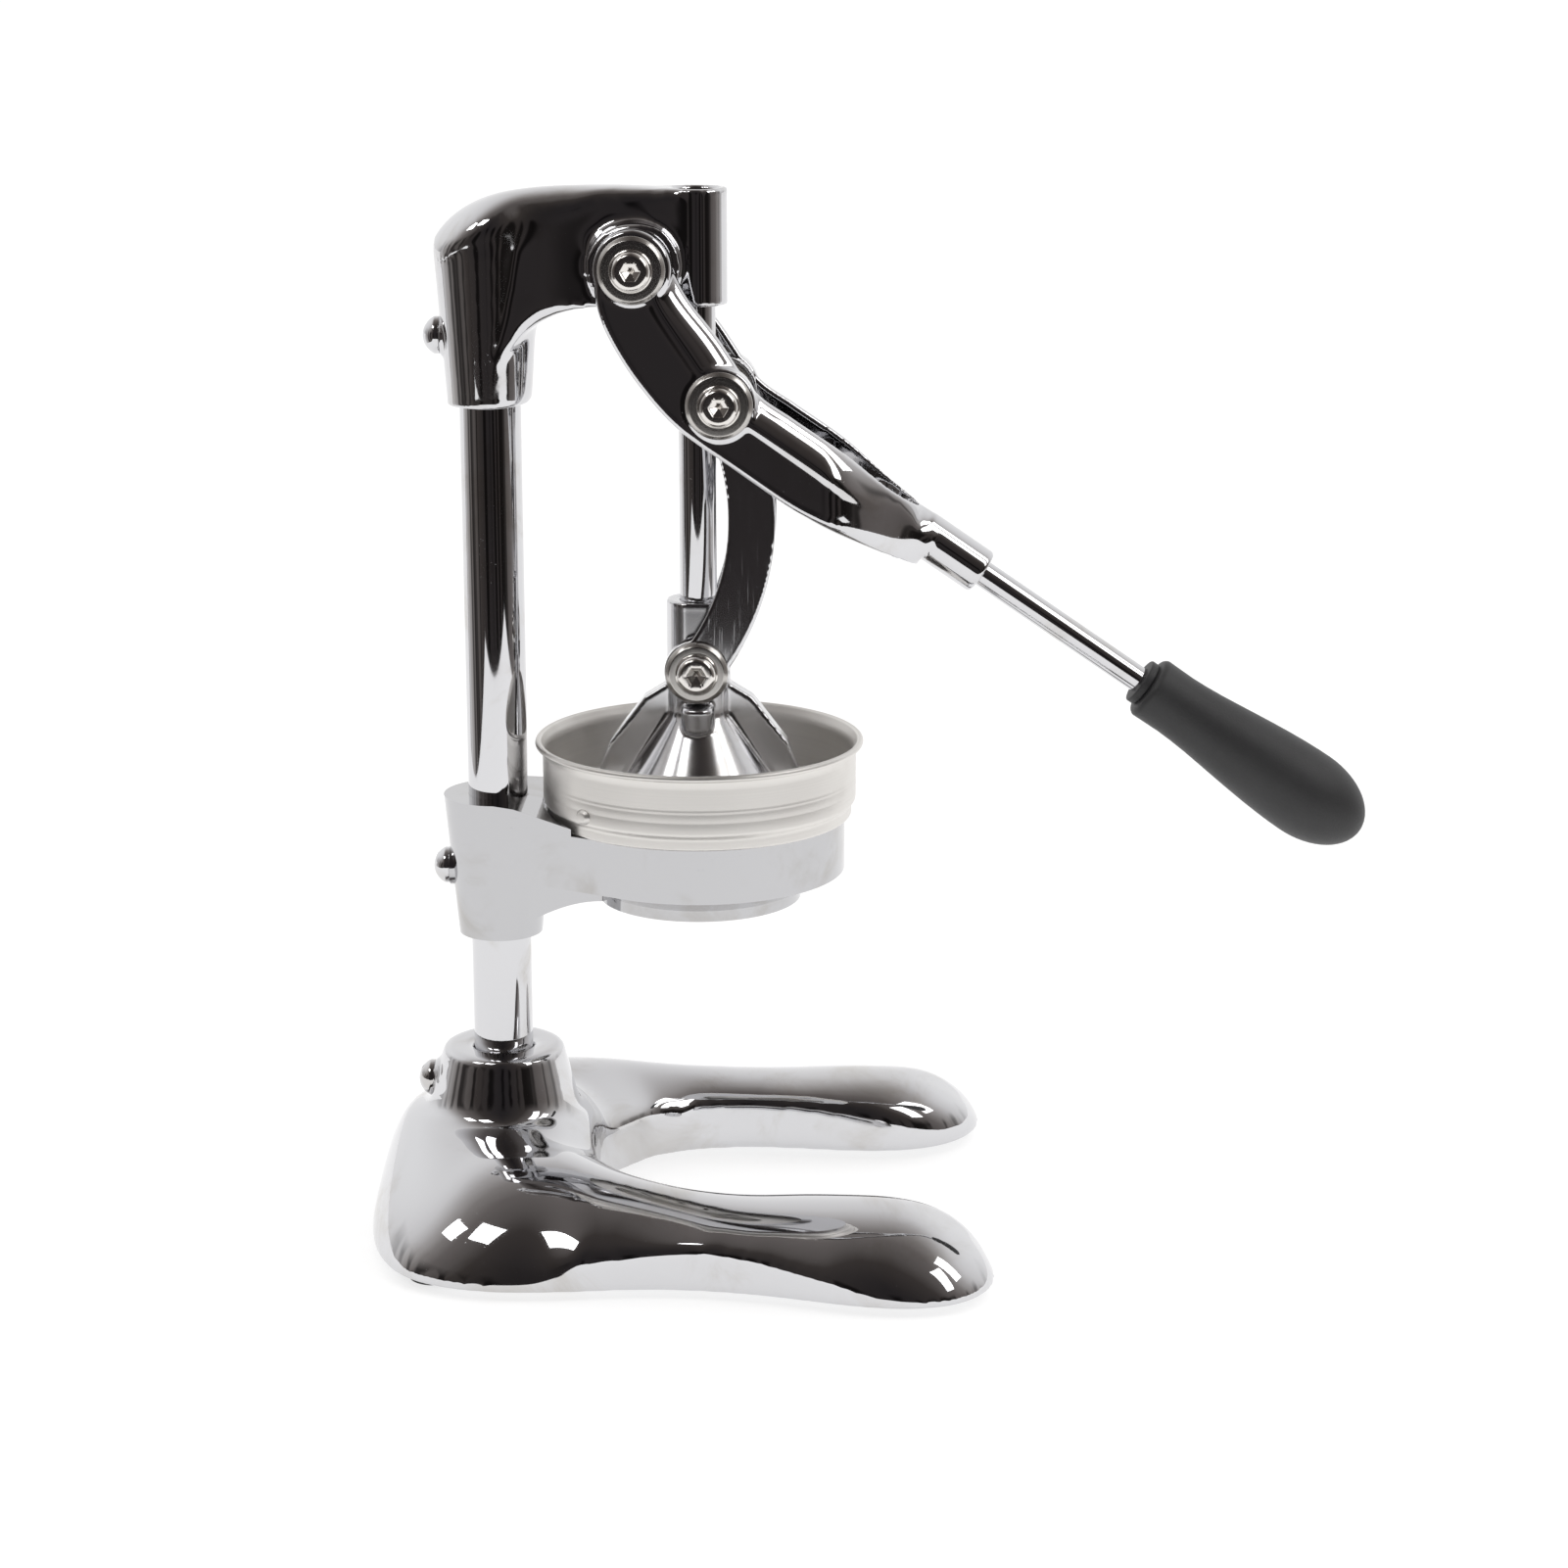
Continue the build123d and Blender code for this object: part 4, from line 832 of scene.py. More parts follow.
class PRESS_OT_base(bpy.types.Operator):
    """Skin of the base: soft legs and hump, a firmer boss"""

    bl_idname = "press.base"
    bl_label = "Base casting"

    def execute(self, context):
        sizes = context.scene.press_sizes
        low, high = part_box("base_casting")
        boss_hold, foot_hold, shoulder_hold = 0.93, 0.85, 0.8
        first_rounds = 10

        def ease(places):
            x, y, z = places.T
            reach = np.hypot(x - column_axis.x, y)
            boss = ease_share(z, high.z - 22.0 * mm, high.z - 10.0 * mm)
            boss *= ease_share(reach, 36.0 * mm, 30.0 * mm)
            foot = ease_share(z, low.z + 7.0 * mm, low.z + 1.0 * mm)
            firm = firmness(shoulder_run, (x - column_axis.x) / mm) * ease_share(z, 27.0 * mm, 23.0 * mm)
            return (1 - boss_hold * boss) * (1 - foot_hold * foot) * (1 - shoulder_hold * firm)

        rough = cast_skin("base_rough", "base_casting", sizes.base_grain, sizes.cast_rounds)
        self.dome(rough, sizes, low.z, high.z)
        soften(rough, first_rounds, (0.5,), ease)
        mesh = even_skin("base_skin", rough, sizes.base_grain, sizes.cast_rounds)
        soften(mesh, sizes.base_rounds, (0.5,), ease)
        add_piece("base_skin", mesh, "stand", finish_named("cast_plating"), ["base_casting"])
        return {"FINISHED"}

    def dome(self, mesh, sizes, low, high):
        """Sets the top of the legs and hump by how far a point lies inside their outline."""
        rim_height, side_height, cap_height = 4.0 * mm, 3.0 * mm, 6.0 * mm
        foot_reach = 12.0 * mm
        notch_half = 45.0 * mm
        places = mesh_places(mesh)
        normals = np.empty(len(mesh.vertices) * 3, dtype=np.float32)
        mesh.vertices.foreach_get("normal", normals)
        normals = normals.reshape(-1, 3)
        rim = (np.abs(normals[:, 2]) < 0.5) & (places[:, 2] < low + rim_height)
        for foot in corner_places("rubber_feet"):
            rim &= np.hypot(places[:, 0] - foot.x, places[:, 1] - foot.y) > foot_reach
        inner = normals[:, 1] * np.sign(places[:, 1]) < -0.25
        inner |= (normals[:, 0] > 0.5) & (np.abs(places[:, 1]) < notch_half)
        body = (places[:, 2] > low + side_height) & (normals[:, 2] > -0.4)
        cap = (places[:, 2] > low + cap_height) & (normals[:, 2] > 0.12)
        moved = np.flatnonzero(body)
        outside = self.distances(places[rim & ~inner], places[moved])
        inside = self.distances(places[rim & inner], places[moved])
        line = self.top_line(sizes, low, places[moved], outside, inside)
        places[moved, 2] = np.where(cap[moved], line, np.minimum(places[moved, 2], line))
        self.taper(places, high)
        put_places(mesh, places)

    def top_line(self, sizes, low, places, outside, inside):
        """Height of legs and hump at places, from how far they lie inside both outlines."""
        x, y, z = places.T
        along = (x - column_axis.x) / mm
        reach = np.hypot(x - column_axis.x, y)
        leg = ease_share(along, 22, 105)
        crown = sizes.hump_crown + (sizes.leg_crown - sizes.hump_crown) * leg
        foot = low + 2.0 * mm
        boss_reach = 32.0 * mm
        firm = firmness(shoulder_run, along)
        shoulder = foot + (sizes.leg_shoulder - foot) * firm
        wide = np.clip(reach - boss_reach + outside, 16.0 * mm, 60.0 * mm)
        wide += ((46.0 - 16.0 * firm) * mm - wide) * leg
        rise = 1 - (1 - np.clip(outside / wide, 0, 1)) ** 2.2
        out_line = shoulder + (crown - shoulder) * rise ** (0.68 + 0.22 * firm)
        firm = firmness(brink_run, along)
        brink = foot + (sizes.leg_brink - foot) * firm
        rise = 1 - (1 - np.clip(inside / ((42.0 - 18.0 * leg) * mm), 0, 1)) ** 2
        in_line = brink + (crown - brink) * rise ** (0.68 + 0.25 * firm)
        edge_drop, edge_width = 3.0 * mm, 2.0 * mm
        in_line -= edge_drop * firm * (1 - np.clip(inside / edge_width, 0, 1)) ** 2
        soft = 1.6 * mm
        line = -soft * np.log(np.exp(-out_line / soft) + np.exp(-in_line / soft)) + 0.3 * soft
        return line + (np.maximum(z, line) - line) * ease_share(reach, 46.0 * mm, 35.0 * mm)

    def taper(self, places, top):
        """Spreads the boss towards its foot, as the casting does."""
        reach = np.hypot(places[:, 0] - column_axis.x, places[:, 1])
        drop = np.clip(top - places[:, 2], 0, 26.0 * mm)
        share = ease_share(reach, 14.0 * mm, 20.0 * mm) * ease_share(reach, 42.0 * mm, 33.0 * mm)
        share *= ease_share(places[:, 2], top - 34.0 * mm, top - 27.0 * mm)
        wanted = 23.2 * mm + 0.266 * drop
        packed = 23.0 * mm + 0.189 * drop
        spread = 1 + share * (wanted / packed - 1)
        places[:, 0] = column_axis.x + (places[:, 0] - column_axis.x) * spread
        places[:, 1] *= spread

    def distances(self, line, places):
        """Distance in plan from each place to the nearest point of a line."""
        tree = kdtree.KDTree(len(line))
        for index, place in enumerate(line):
            tree.insert((place[0], place[1], 0), index)
        tree.balance()
        return np.array([tree.find((place[0], place[1], 0))[2] for place in places])


class PRESS_OT_stand_castings(bpy.types.Operator):
    """Skin of the head, and the finish of the bowl bracket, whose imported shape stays"""

    bl_idname = "press.stand_castings"
    bl_label = "Head and bracket"

    def execute(self, context):
        sizes = context.scene.press_sizes
        finish = finish_named("cast_plating")
        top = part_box("head_casting")[1].z
        junction_reach, junction_width = 20.0 * mm, 9.0 * mm

        def ease(places):
            x, z = places[:, 0], places[:, 2]
            crest = ease_share(z, top - 26.0 * mm, top - 14.0 * mm)
            behind = ease_share(x, press_axis.x - 14.0 * mm, press_axis.x - 30.0 * mm)
            junction = np.exp(-(((x - column_axis.x - junction_reach) / junction_width) ** 2))
            rear = 0.3 + 0.7 * ease_share(x, column_axis.x + 42.0 * mm, column_axis.x + 8.0 * mm)
            return np.maximum(crest * behind * rear, 0.35 * junction)

        head = cast_skin("head_skin", "head_casting", sizes.cast_grain, sizes.cast_rounds)
        self.crown(head, sizes)
        crest_rounds, crest_move = 150, 0.6
        soften(head, crest_rounds, (crest_move,), ease)
        add_piece("head_skin", head, "stand", finish, ["head_casting"])
        # The bracket keeps its imported shape and gets the plating darkened as painted shade
        dress("bowl_bracket", finish_named("bracket_plating"))
        return {"FINISHED"}

    def crown(self, mesh, sizes):
        """Lets the head's top fall towards both faces, most over the column."""
        places = mesh_places(mesh)
        x, y, z = places.T
        slice_width = 1.5 * mm
        step = ((x - x.min()) / slice_width).astype(int)
        tops = np.zeros(step.max() + 1)
        halves = np.zeros(step.max() + 1)
        np.maximum.at(tops, step, z)
        np.maximum.at(halves, step, np.abs(y))
        tops = self.evened(tops)[step]
        halves = self.evened(halves)[step]
        along = (x - column_axis.x) / (press_axis.x - column_axis.x)
        fall = np.interp(along, (0.1, 0.45, 0.8, 0.86), (1.0, 0.55, 0.35, 0.0))
        share = ease_share(z, tops - 18.0 * mm, tops - 4.0 * mm)
        places[:, 2] -= sizes.head_fall * fall * share * np.clip(np.abs(y) / halves, 0, 1) ** 2
        put_places(mesh, places)

    def evened(self, row):
        """A row of sizes, each the mean of itself and its three neighbours on both sides."""
        return np.convolve(np.pad(row, 3, "edge"), np.ones(7) / 7, "valid")


# Side outline of a lever arm, in shares of its run and drop from the pivot to the socket
arm_under_shares = (
    (-0.131, 0.0), (-0.118, 0.142), (-0.072, 0.264), (0.015, 0.411), (0.142, 0.565),
    (0.323, 0.705), (0.58, 0.893), (0.777, 1.004), (0.955, 1.098),
)
arm_over_shares = (
    (0.131, 0.0), (0.187, 0.112), (0.285, 0.252), (0.406, 0.437),
    (0.536, 0.538), (0.706, 0.663), (0.862, 0.80), (1.045, 0.931),
)


def arm_section(width, thick, sunk, belly):
    """Shares across and out of an arm: lower lip, sunk panel, bead along the top and flat inner face."""
    lip = 1.4 * mm / width + 0.30 * belly
    panel = lip + 0.9 * mm / width
    crease, peak = 0.57, 0.67
    deep = sunk / thick
    turn = np.linspace(0, pi / 2, 8)
    rise = np.linspace(0.15, pi / 2, 6)
    across = [lip * (1 - np.cos(turn)), np.linspace(lip, panel, 4)[1:], np.linspace(panel, crease, 7)[1:]]
    out = [0.30 + 0.70 * np.sin(turn), 1 - deep * np.array([0.3, 0.8, 1.0]), np.full(6, 1 - deep)]
    fall = np.linspace(0, 1, 12)[1:]
    across += [peak - (peak - crease) * np.cos(rise), peak + (1 - peak) * fall]
    out += [1 - deep + deep * np.sin(rise), 1 - 0.36 * fall - 0.28 * fall**3]
    across = np.concatenate(across)
    out = np.concatenate(out)
    half_round = np.sqrt(np.clip(1 - (2 * across - 1) ** 2, 0, 1))
    out = out + belly**2 * (half_round - out)
    edge = 0.8 * mm / width
    inner_across = [1.0, 1 - edge, 0.75, 0.5, 0.25, edge, 0.0]
    inner_out = [0.08, 0.0, 0.0, 0.0, 0.0, 0.0, 0.10]
    return np.concatenate([across, inner_across]), np.concatenate([out, inner_out])


class PRESS_OT_lever_fork(bpy.types.Operator):
    """Forked lever: two panelled arms with a bead, their eyes, the yoke and the handle's socket"""

    bl_idname = "press.lever_fork"
    bl_label = "Lever fork"

    def execute(self, context):
        sizes = context.scene.press_sizes
        slope = sizes.handle_angle
        outer = box_half("lever_fork").y
        inner = inner_side("fork_bushes")
        shapes = []
        for side in (-1, 1):
            shapes.append(self.arm(sizes, side, inner, outer))
            shapes.append(self.seat(head_pivot, side, sizes.eye_radius, inner, outer, 2.4 * mm))
            shapes.append(self.seat(link_pivot, side, sizes.boss_radius, inner, outer, 1.0 * mm))
        overlap = 4.0 * mm
        line = rod_line(sizes.socket_radius, 0, overlap + sizes.socket_length, 1.2 * mm)
        along = Vector((cos(slope), 0, -sin(slope))) * (sizes.socket_start - overlap)
        start = Vector((link_pivot.x, 0, link_pivot.z)) + along
        shapes.append(self.put(turned(line, 96), handle_place(start, slope)))
        shell = shell_mesh("fork_rough", joined(*shapes))
        grain = sizes.cast_grain * 0.72
        edge_rounds = 7
        mesh = even_skin("fork_skin", shell, grain, sizes.cast_rounds)
        soften(mesh, edge_rounds)
        add_piece("fork_skin", mesh, "lever", finish_named("cast_plating"), ["lever_fork"])
        return {"FINISHED"}

    def put(self, shape, place):
        """A shape with its points moved to a place."""
        return [place @ Vector(point) for point in shape[0]], shape[1]

    def seat(self, pivot, side, radius, inner, outer, edge):
        """A round seat on one arm, across the arm's thickness."""
        line = rod_line(radius, inner, outer, edge, 6)
        turn = Euler((-side * pi / 2, 0, 0)).to_matrix().to_4x4()
        return self.put(turned(line, 96), Matrix.Translation((pivot.x, 0, pivot.z)) @ turn)

    def arm(self, sizes, side, inner, outer):
        """One arm from its eye to the yoke, drawn in to the socket and open like a boat's bow."""
        slope = sizes.handle_angle
        run = link_pivot.x - head_pivot.x + sizes.socket_start * cos(slope)
        drop = head_pivot.z - link_pivot.z + sizes.socket_start * sin(slope)
        corner = np.array([head_pivot.x, head_pivot.z])
        under = corner + smooth_line(arm_under_shares, 120) * (run, -drop)
        over = corner + smooth_line(arm_over_shares, 120) * (run, -drop)
        yoke = head_pivot.x + run
        belly_run, panel_run, panel_end = 0.42 * run, 0.30 * run, 0.05 * run
        draw_run, draw_past = 0.36 * run, 0.01 * run
        bow_run, bow_length = 0.40 * run, 0.36 * run
        bow_wall, past_middle = 3.4 * mm, 1.5 * mm
        rows = []
        for low, high in zip(under, over):
            middle = (low[0] + high[0]) / 2
            belly = ease_share(middle, yoke - belly_run, yoke)
            sunk = sizes.panel_depth * (1 - ease_share(middle, yoke - panel_run, yoke - panel_end))
            across, out = arm_section(np.hypot(*(high - low)), outer - inner, sunk, belly)
            x = low[0] + (high[0] - low[0]) * across
            z = low[1] + (high[1] - low[1]) * across
            far = outer + (sizes.yoke_end - outer) * ease_share(x, yoke - draw_run, yoke + draw_past)
            share = np.clip((x - yoke + bow_run) / bow_length, 0, 1)
            bow = np.minimum(inner * np.sqrt(1 - share**2), far - bow_wall)
            near = np.where(share < 1, bow, -past_middle)
            rows.append(np.column_stack([x, side * (near + (far - near) * out), z]))
        count = len(rows[0])
        faces = [tuple(range(count)), tuple(range((len(rows) - 1) * count, len(rows) * count))]
        for row in range(len(rows) - 1):
            for step in range(count):
                after = (step + 1) % count
                low, high = row * count, (row + 1) * count
                faces.append((low + step, low + after, high + after, high + step))
        return [tuple(point) for row in rows for point in row], faces


class PRESS_OT_bell(bpy.types.Operator):
    """Skin of the press bell with its neck and fins"""

    bl_idname = "press.bell"
    bl_label = "Press bell"

    def execute(self, context):
        sizes = context.scene.press_sizes
        shell = merged_copy("bell_rough", "press_bell")
        work = bmesh.new()
        work.from_mesh(shell)
        top = press_pivot.z - 14.0 * mm
        low = press_pivot.z - 24.5 * mm
        wide, narrow, apart = 6.6 * mm, 5.2 * mm, 13.5 * mm
        line = eased([(0, top), (wide, top), (narrow, low), (0, low)], 2.2 * mm, 6)
        for side in (-1, 1):
            place = Matrix.Translation((press_axis.x, side * apart, 0))
            work.from_mesh(shell_mesh("bell_nub", turned(line, 48), place))
        work.to_mesh(shell)
        work.free()
        grain = sizes.cast_grain * 0.85
        edge_rounds = 3
        mesh = even_skin("bell_skin", shell, grain, sizes.cast_rounds)
        soften(mesh, edge_rounds)
        add_piece("bell_skin", mesh, "press", finish_named("bell_plating"), ["press_bell"])
        return {"FINISHED"}


class PRESS_OT_links(bpy.types.Operator):
    """The two bowed links with eased edges"""

    bl_idname = "press.links"
    bl_label = "Links"

    def execute(self, context):
        sizes = context.scene.press_sizes
        even_rounds, edge_rounds = 16, 3
        for node in ("near_link", "far_link"):
            mesh = cast_skin(node + "_skin", node, sizes.link_grain, even_rounds)
            soften(mesh, edge_rounds)
            add_piece(node + "_skin", mesh, "links", finish_named("link_plating"), [node])
        return {"FINISHED"}


class PRESS_OT_bars(bpy.types.Operator):
    """Column, guide rod and handle rod, turned with eased ends"""

    bl_idname = "press.bars"
    bl_label = "Bars"

    def execute(self, context):
        for node, body in (("column", "stand"), ("guide_rod", "press")):
            low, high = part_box(node)
            radius = box_half(node).x
            line = rod_line(radius, low.z, high.z, 0.9 * mm)
            place = Matrix.Translation((box_middle(node).x, 0, 0))
            mesh = shell_mesh(node + "_bar", turned(line, 128), place)
            add_piece(node + "_bar", mesh, body, finish_named("bar_plating"), [node])
        low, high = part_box("handle_rod")
        slope = context.scene.press_sizes.handle_angle
        radius = box_half("handle_rod").y
        length = (high.x - low.x - 2 * radius * sin(slope)) / cos(slope)
        line = rod_line(radius, 0, length, 0.8 * mm)
        start = Vector((low.x + radius * sin(slope), 0, high.z - radius * cos(slope)))
        mesh = shell_mesh("handle_bar", turned(line, 96), handle_place(start, slope))
        add_piece("handle_bar", mesh, "lever", finish_named("bar_plating"), ["handle_rod"])
        return {"FINISHED"}


def handle_place(start, slope):
    """Matrix that lays a turned piece's axis along the handle from a start."""
    return Matrix.Translation(start) @ Euler((0, pi / 2 + slope, 0)).to_matrix().to_4x4()


def pivot_stack(sizes, washer_radius, shank_radius, shank_length):
    """A bevelled washer with a button-head screw through it, along Z with the screw's seat at zero."""
    bevel = sizes.washer_bevel
    thick = 3.0 * mm
    washer = [(shank_radius, -thick), (washer_radius, -thick), (washer_radius, -bevel)]
    washer += [(washer_radius - bevel, 0), (shank_radius, 0)]
    washer = eased(washer, 0.25 * mm, 3, True)
    wide, tall = 8.0 * mm, 4.4 * mm
    crown = 5.2 * mm
    lip, lip_start = sizes.button_lip, 0.05 * mm
    inset, edge = 0.5 * mm, 0.3 * mm
    screw = [(0, -shank_length), (shank_radius, -shank_length), (shank_radius, 0), (wide, 0)]
    screw += eased([(wide, lip_start), (wide, lip), (wide - inset, lip + edge)], edge, 3)
    for step in range(1, 9):
        angle = pi / 2 * step / 8
        radius = crown + (wide - inset - crown) * cos(angle)
        height = lip + edge + (tall - lip - edge) * sin(angle)
        screw.append((radius, height))
    key = sizes.hex_across / 2
    key_flare, key_brink = 1.22 * key, 0.02 * mm
    key_depth, floor_depth, cone_depth = 1.3 * mm, 1.45 * mm, 3.2 * mm
    screw += [
        (key_flare, tall),
        (key + edge, tall - key_brink, 6),
        (key, tall - edge, 6),
        (key, tall - key_depth, 6),
        (key - edge, tall - floor_depth, 6),
        (0, tall - cone_depth),
    ]
    shape = joined(turned(washer, 96, True), turned(screw, 96))
    mesh = shell_mesh("pivot_stack", shape, sharp=radians(28))
    turn_marks(mesh, [sqrt(point.co.x**2 + point.co.y**2) for point in mesh.vertices])
    polish_start = 0.04 * mm
    shine = mesh.attributes.new("polish", "FLOAT", "POINT")
    shine.data.foreach_set("value", [float(point.co.z > polish_start) for point in mesh.vertices])
    return mesh


class PRESS_OT_pivots(bpy.types.Operator):
    """Button-head screws and turned washers on both sides of the three pivots"""

    bl_idname = "press.pivots"
    bl_label = "Pivot screws"

    def execute(self, context):
        sizes = context.scene.press_sizes
        finish = finish_named("turned_steel")
        # Name, place, body, radius of the shank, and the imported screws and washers
        rows = (
            ("head_pivot", head_pivot, "stand", 5.0 * mm, ["head_pivot_screws", "head_pivot_washers"]),
            ("link_pivot", link_pivot, "lever", 3.0 * mm, ["link_pins", "link_pin_washers"]),
            ("press_pivot", press_pivot, "press", 5.0 * mm, ["press_pivot_screws", "press_pivot_washers"]),
        )
        for name, place, body, shank, nodes in rows:
            outer = box_half(nodes[1])
            seat = outer.y
            stack = pivot_stack(sizes, outer.x, shank, seat - inner_side(nodes[0]))
            seats = [(place.x, side * seat, place.z) for side in (-1, 1)]
            mesh = repeated(name + "_stack", stack, seats, [(0, -1, 0), (0, 1, 0)], finish)
            add_piece(name + "_stack", mesh, body, finish, nodes)
        return {"FINISHED"}


class PRESS_OT_set_screws(bpy.types.Operator):
    """Slotted dome screws that clamp the base, bracket and head"""

    bl_idname = "press.set_screws"
    bl_label = "Set screws"

    def execute(self, context):
        finish = finish_named("bar_plating")
        nodes = ["base_set_screw", "bracket_set_screw", "head_set_screw"]
        grain, rounds = 0.32 * mm, 4
        one = cast_skin("set_screw_one", nodes[0], grain, rounds)
        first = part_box(nodes[0])[0]
        one.transform(Matrix.Translation((-first.x, 0, -box_middle(nodes[0]).z)))
        one.transform(Euler((0, -pi / 2, 0)).to_matrix().to_4x4())
        seats = [(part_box(node)[0].x, 0, box_middle(node).z) for node in nodes]
        mesh = repeated("set_screws", one, seats, [(1, 0, 0)] * 3, finish)
        mesh.shade_smooth()
        add_piece("set_screws", mesh, "stand", finish, nodes)
        return {"FINISHED"}


def corner_places(node):
    """Middle of the points of a node in each corner of its plan."""
    middle = box_middle(node)
    places = []
    for along in (-1, 1):
        for side in (-1, 1):
            there = [
                point.co
                for point in packed_mesh(node).vertices
                if (point.co.x - middle.x) * along > 0 and point.co.y * side > 0
            ]
            low = Vector([min(co[axis] for co in there) for axis in range(3)])
            high = Vector([max(co[axis] for co in there) for axis in range(3)])
            places.append((low + high) / 2)
    return places


class PRESS_OT_feet(bpy.types.Operator):
    """Rubber feet under the base"""

    bl_idname = "press.feet"
    bl_label = "Rubber feet"

    def execute(self, context):
        finish = finish_named("foot_rubber")
        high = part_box("rubber_feet")[1].z
        places = corner_places("rubber_feet")
        radius, tread, mouth, well, hole = 10.0 * mm, 6.2 * mm, 4.2 * mm, 4.1 * mm, 2.0 * mm
        side, lip, recess = 2.9 * mm, 0.5 * mm, 2.8 * mm
        line = [(hole, high), (radius, high), (radius, side), (radius, 0), (tread, 0)]
        line += [(mouth, lip), (well, recess), (hole, recess)]
        foot = shell_mesh("foot_one", turned(eased(line, 0.8 * mm, 3, True), 64, True))
        seats = [(place.x, place.y, 0) for place in places]
        mesh = repeated("foot_pads", foot, seats, [(0, 0, 1)] * 4, finish)
        add_piece("foot_pads", mesh, "stand", finish, ["rubber_feet"])
        return {"FINISHED"}


class PRESS_OT_cup(bpy.types.Operator):
    """Spun juice cup with a rolled rim, level lines and a pressed stop"""

    bl_idname = "press.cup"
    bl_label = "Juice cup"

    def execute(self, context):
        sizes = context.scene.press_sizes
        bead = sizes.rim_bead
        outer = box_half("juice_cup").x
        wall = 1.2 * mm
        top = cup_high.z
        side = outer - 2.8 * mm
        step_top = top - 23.5 * mm
        foot = top - 29.6 * mm
        floor = cup_low.z
        ledge = 1.6 * mm
        lower, step_low = side - ledge, step_top - ledge
        spigot = 51.6 * mm
        drain = 21.0 * mm
        groove = sizes.cup_groove
        rim_start, rim_sweep = radians(-75), radians(250)
        rim = []
        for step in range(15):
            angle = rim_start + rim_sweep * step / 14
            rim.append((outer - bead + bead * cos(angle), top - bead + bead * sin(angle)))
        rim.reverse()
        under_rim = ((0.9, 2.4), (0.2, 4.2), (0.0, 6.0))
        outside = [(side + out * mm, top - drop * mm) for out, drop in under_rim]
        for drop in (13.6, 15.2, 18.6):
            level = top - drop * mm
            for shift, depth in ((0.7, 0), (0.25, groove), (-0.25, groove), (-0.7, 0)):
                outside.append((side - depth, level + shift * mm))
        step_line = [(side, step_top + 2.5 * mm), (side, step_top), (lower, step_low), (lower, foot)]
        outside += eased([*step_line, (spigot, foot), (spigot, floor), (drain, floor)], 1.1 * mm)
        inside = [(drain, floor + wall), (spigot - wall, floor + wall), (spigot - wall, foot + wall)]
        inside += [(lower - wall, foot + wall), (lower - wall, step_low), (side - wall, step_top)]
        inside += [(side - wall, top - 5.0 * mm), (side - wall + 0.6 * mm, top - 2.6 * mm)]
        profile = rim + outside + eased(inside, 1.6 * mm)
        shape = joined(turned(profile, 192, True), self.stop(sizes, side))
        mesh = shell_mesh("cup_shell", shape, Matrix.Translation((press_axis.x, 0, 0)))
        add_piece("cup_shell", mesh, "stand", finish_named("satin_cup"), ["juice_cup"])
        return {"FINISHED"}

    def stop(self, sizes, side):
        """A small oval stop on the wall at the near left."""
        wide = sizes.dimple_radius
        line = [(0, 1.4 * mm), (0.62 * wide, 1.3 * mm), (wide, 0.1 * mm), (wide, -0.9 * mm)]
        line = eased([*line, (0, -0.9 * mm)], 0.4 * mm)
        bearing = radians(-134)
        outward = Vector((cos(bearing), sin(bearing), 0))
        turn = outward.to_track_quat("Z", "Y").to_matrix().to_4x4()
        place = Matrix.Translation(outward * side + Vector((0, 0, cup_high.z - 20.6 * mm)))
        points, faces = turned(line, 48)
        return [place @ turn @ Vector((x, 0.8 * y, z)) for x, y, z in points], faces


class PRESS_OT_strainer(bpy.types.Operator):
    """Slotted strainer cone inside the cup"""

    bl_idname = "press.strainer"
    bl_label = "Strainer"

    def execute(self, context):
        mesh = merged_copy("strainer_shell", "strainer_cone")
        finish = finish_named("satin_cup")
        add_piece("strainer_shell", mesh, "stand", finish, ["strainer_cone"])
        return {"FINISHED"}


class PRESS_OT_grip(bpy.types.Operator):
    """Moulded grip with its collar"""

    bl_idname = "press.grip"
    bl_label = "Grip"

    def execute(self, context):
        sizes = context.scene.press_sizes
        slope = sizes.handle_angle
        length = 104.0 * mm
        ring, collar = sizes.collar_radius, sizes.collar_length
        bulb = 16.9 * mm
        bulb_length = 26.0 * mm
        bore, bore_depth = 5.1 * mm, 40.0 * mm
        neck = [(bore, 0.0), (ring, 0.0), (ring, collar), (ring - 0.6 * mm, collar + 0.5 * mm)]
        neck += [(11.2 * mm, collar + 0.9 * mm), (12.3 * mm, collar + 2.4 * mm), (12.2 * mm, 9.0 * mm)]
        line = eased(neck, 0.7 * mm)
        waist = [(12.15, 13.0), (12.1, 17.0), (12.35, 23.0), (12.9, 30.0), (13.7, 37.5)]
        waist += [(14.55, 45.0), (15.35, 52.5), (16.05, 60.0), (16.55, 67.0), (16.82, 73.0)]
        line += [(radius * mm, along * mm) for radius, along in waist]
        for step in range(17):
            angle = pi / 2 * step / 16
            line.append((bulb * cos(angle), length - bulb_length + bulb_length * sin(angle)))
        line[-1] = (0, length)
        shape = turned([(0, bore_depth), (bore, bore_depth), *line], 128)
        start = box_middle("grip_ferrule") - Vector((cos(slope), 0, -sin(slope))) * 1.5 * mm
        mesh = shell_mesh("grip_mould", shape, handle_place(start, slope))
        finish = finish_named("moulded_grip")
        add_piece("grip_mould", mesh, "lever", finish, ["grip", "grip_ferrule"])
        return {"FINISHED"}


class PRESS_OT_small_parts(bpy.types.Operator):
    """Finishes of the bushes, nuts and foot screws that stay as packed"""

    bl_idname = "press.small_parts"
    bl_label = "Bushes, nuts and foot screws"

    def execute(self, context):
        for node in ("guide_bush", "fork_bushes", "link_bushes"):
            dress(node, finish_named("bush_brass"))
        for node in ("link_lock_nuts", "foot_screws"):
            dress(node, finish_named("dull_steel"))
        return {"FINISHED"}


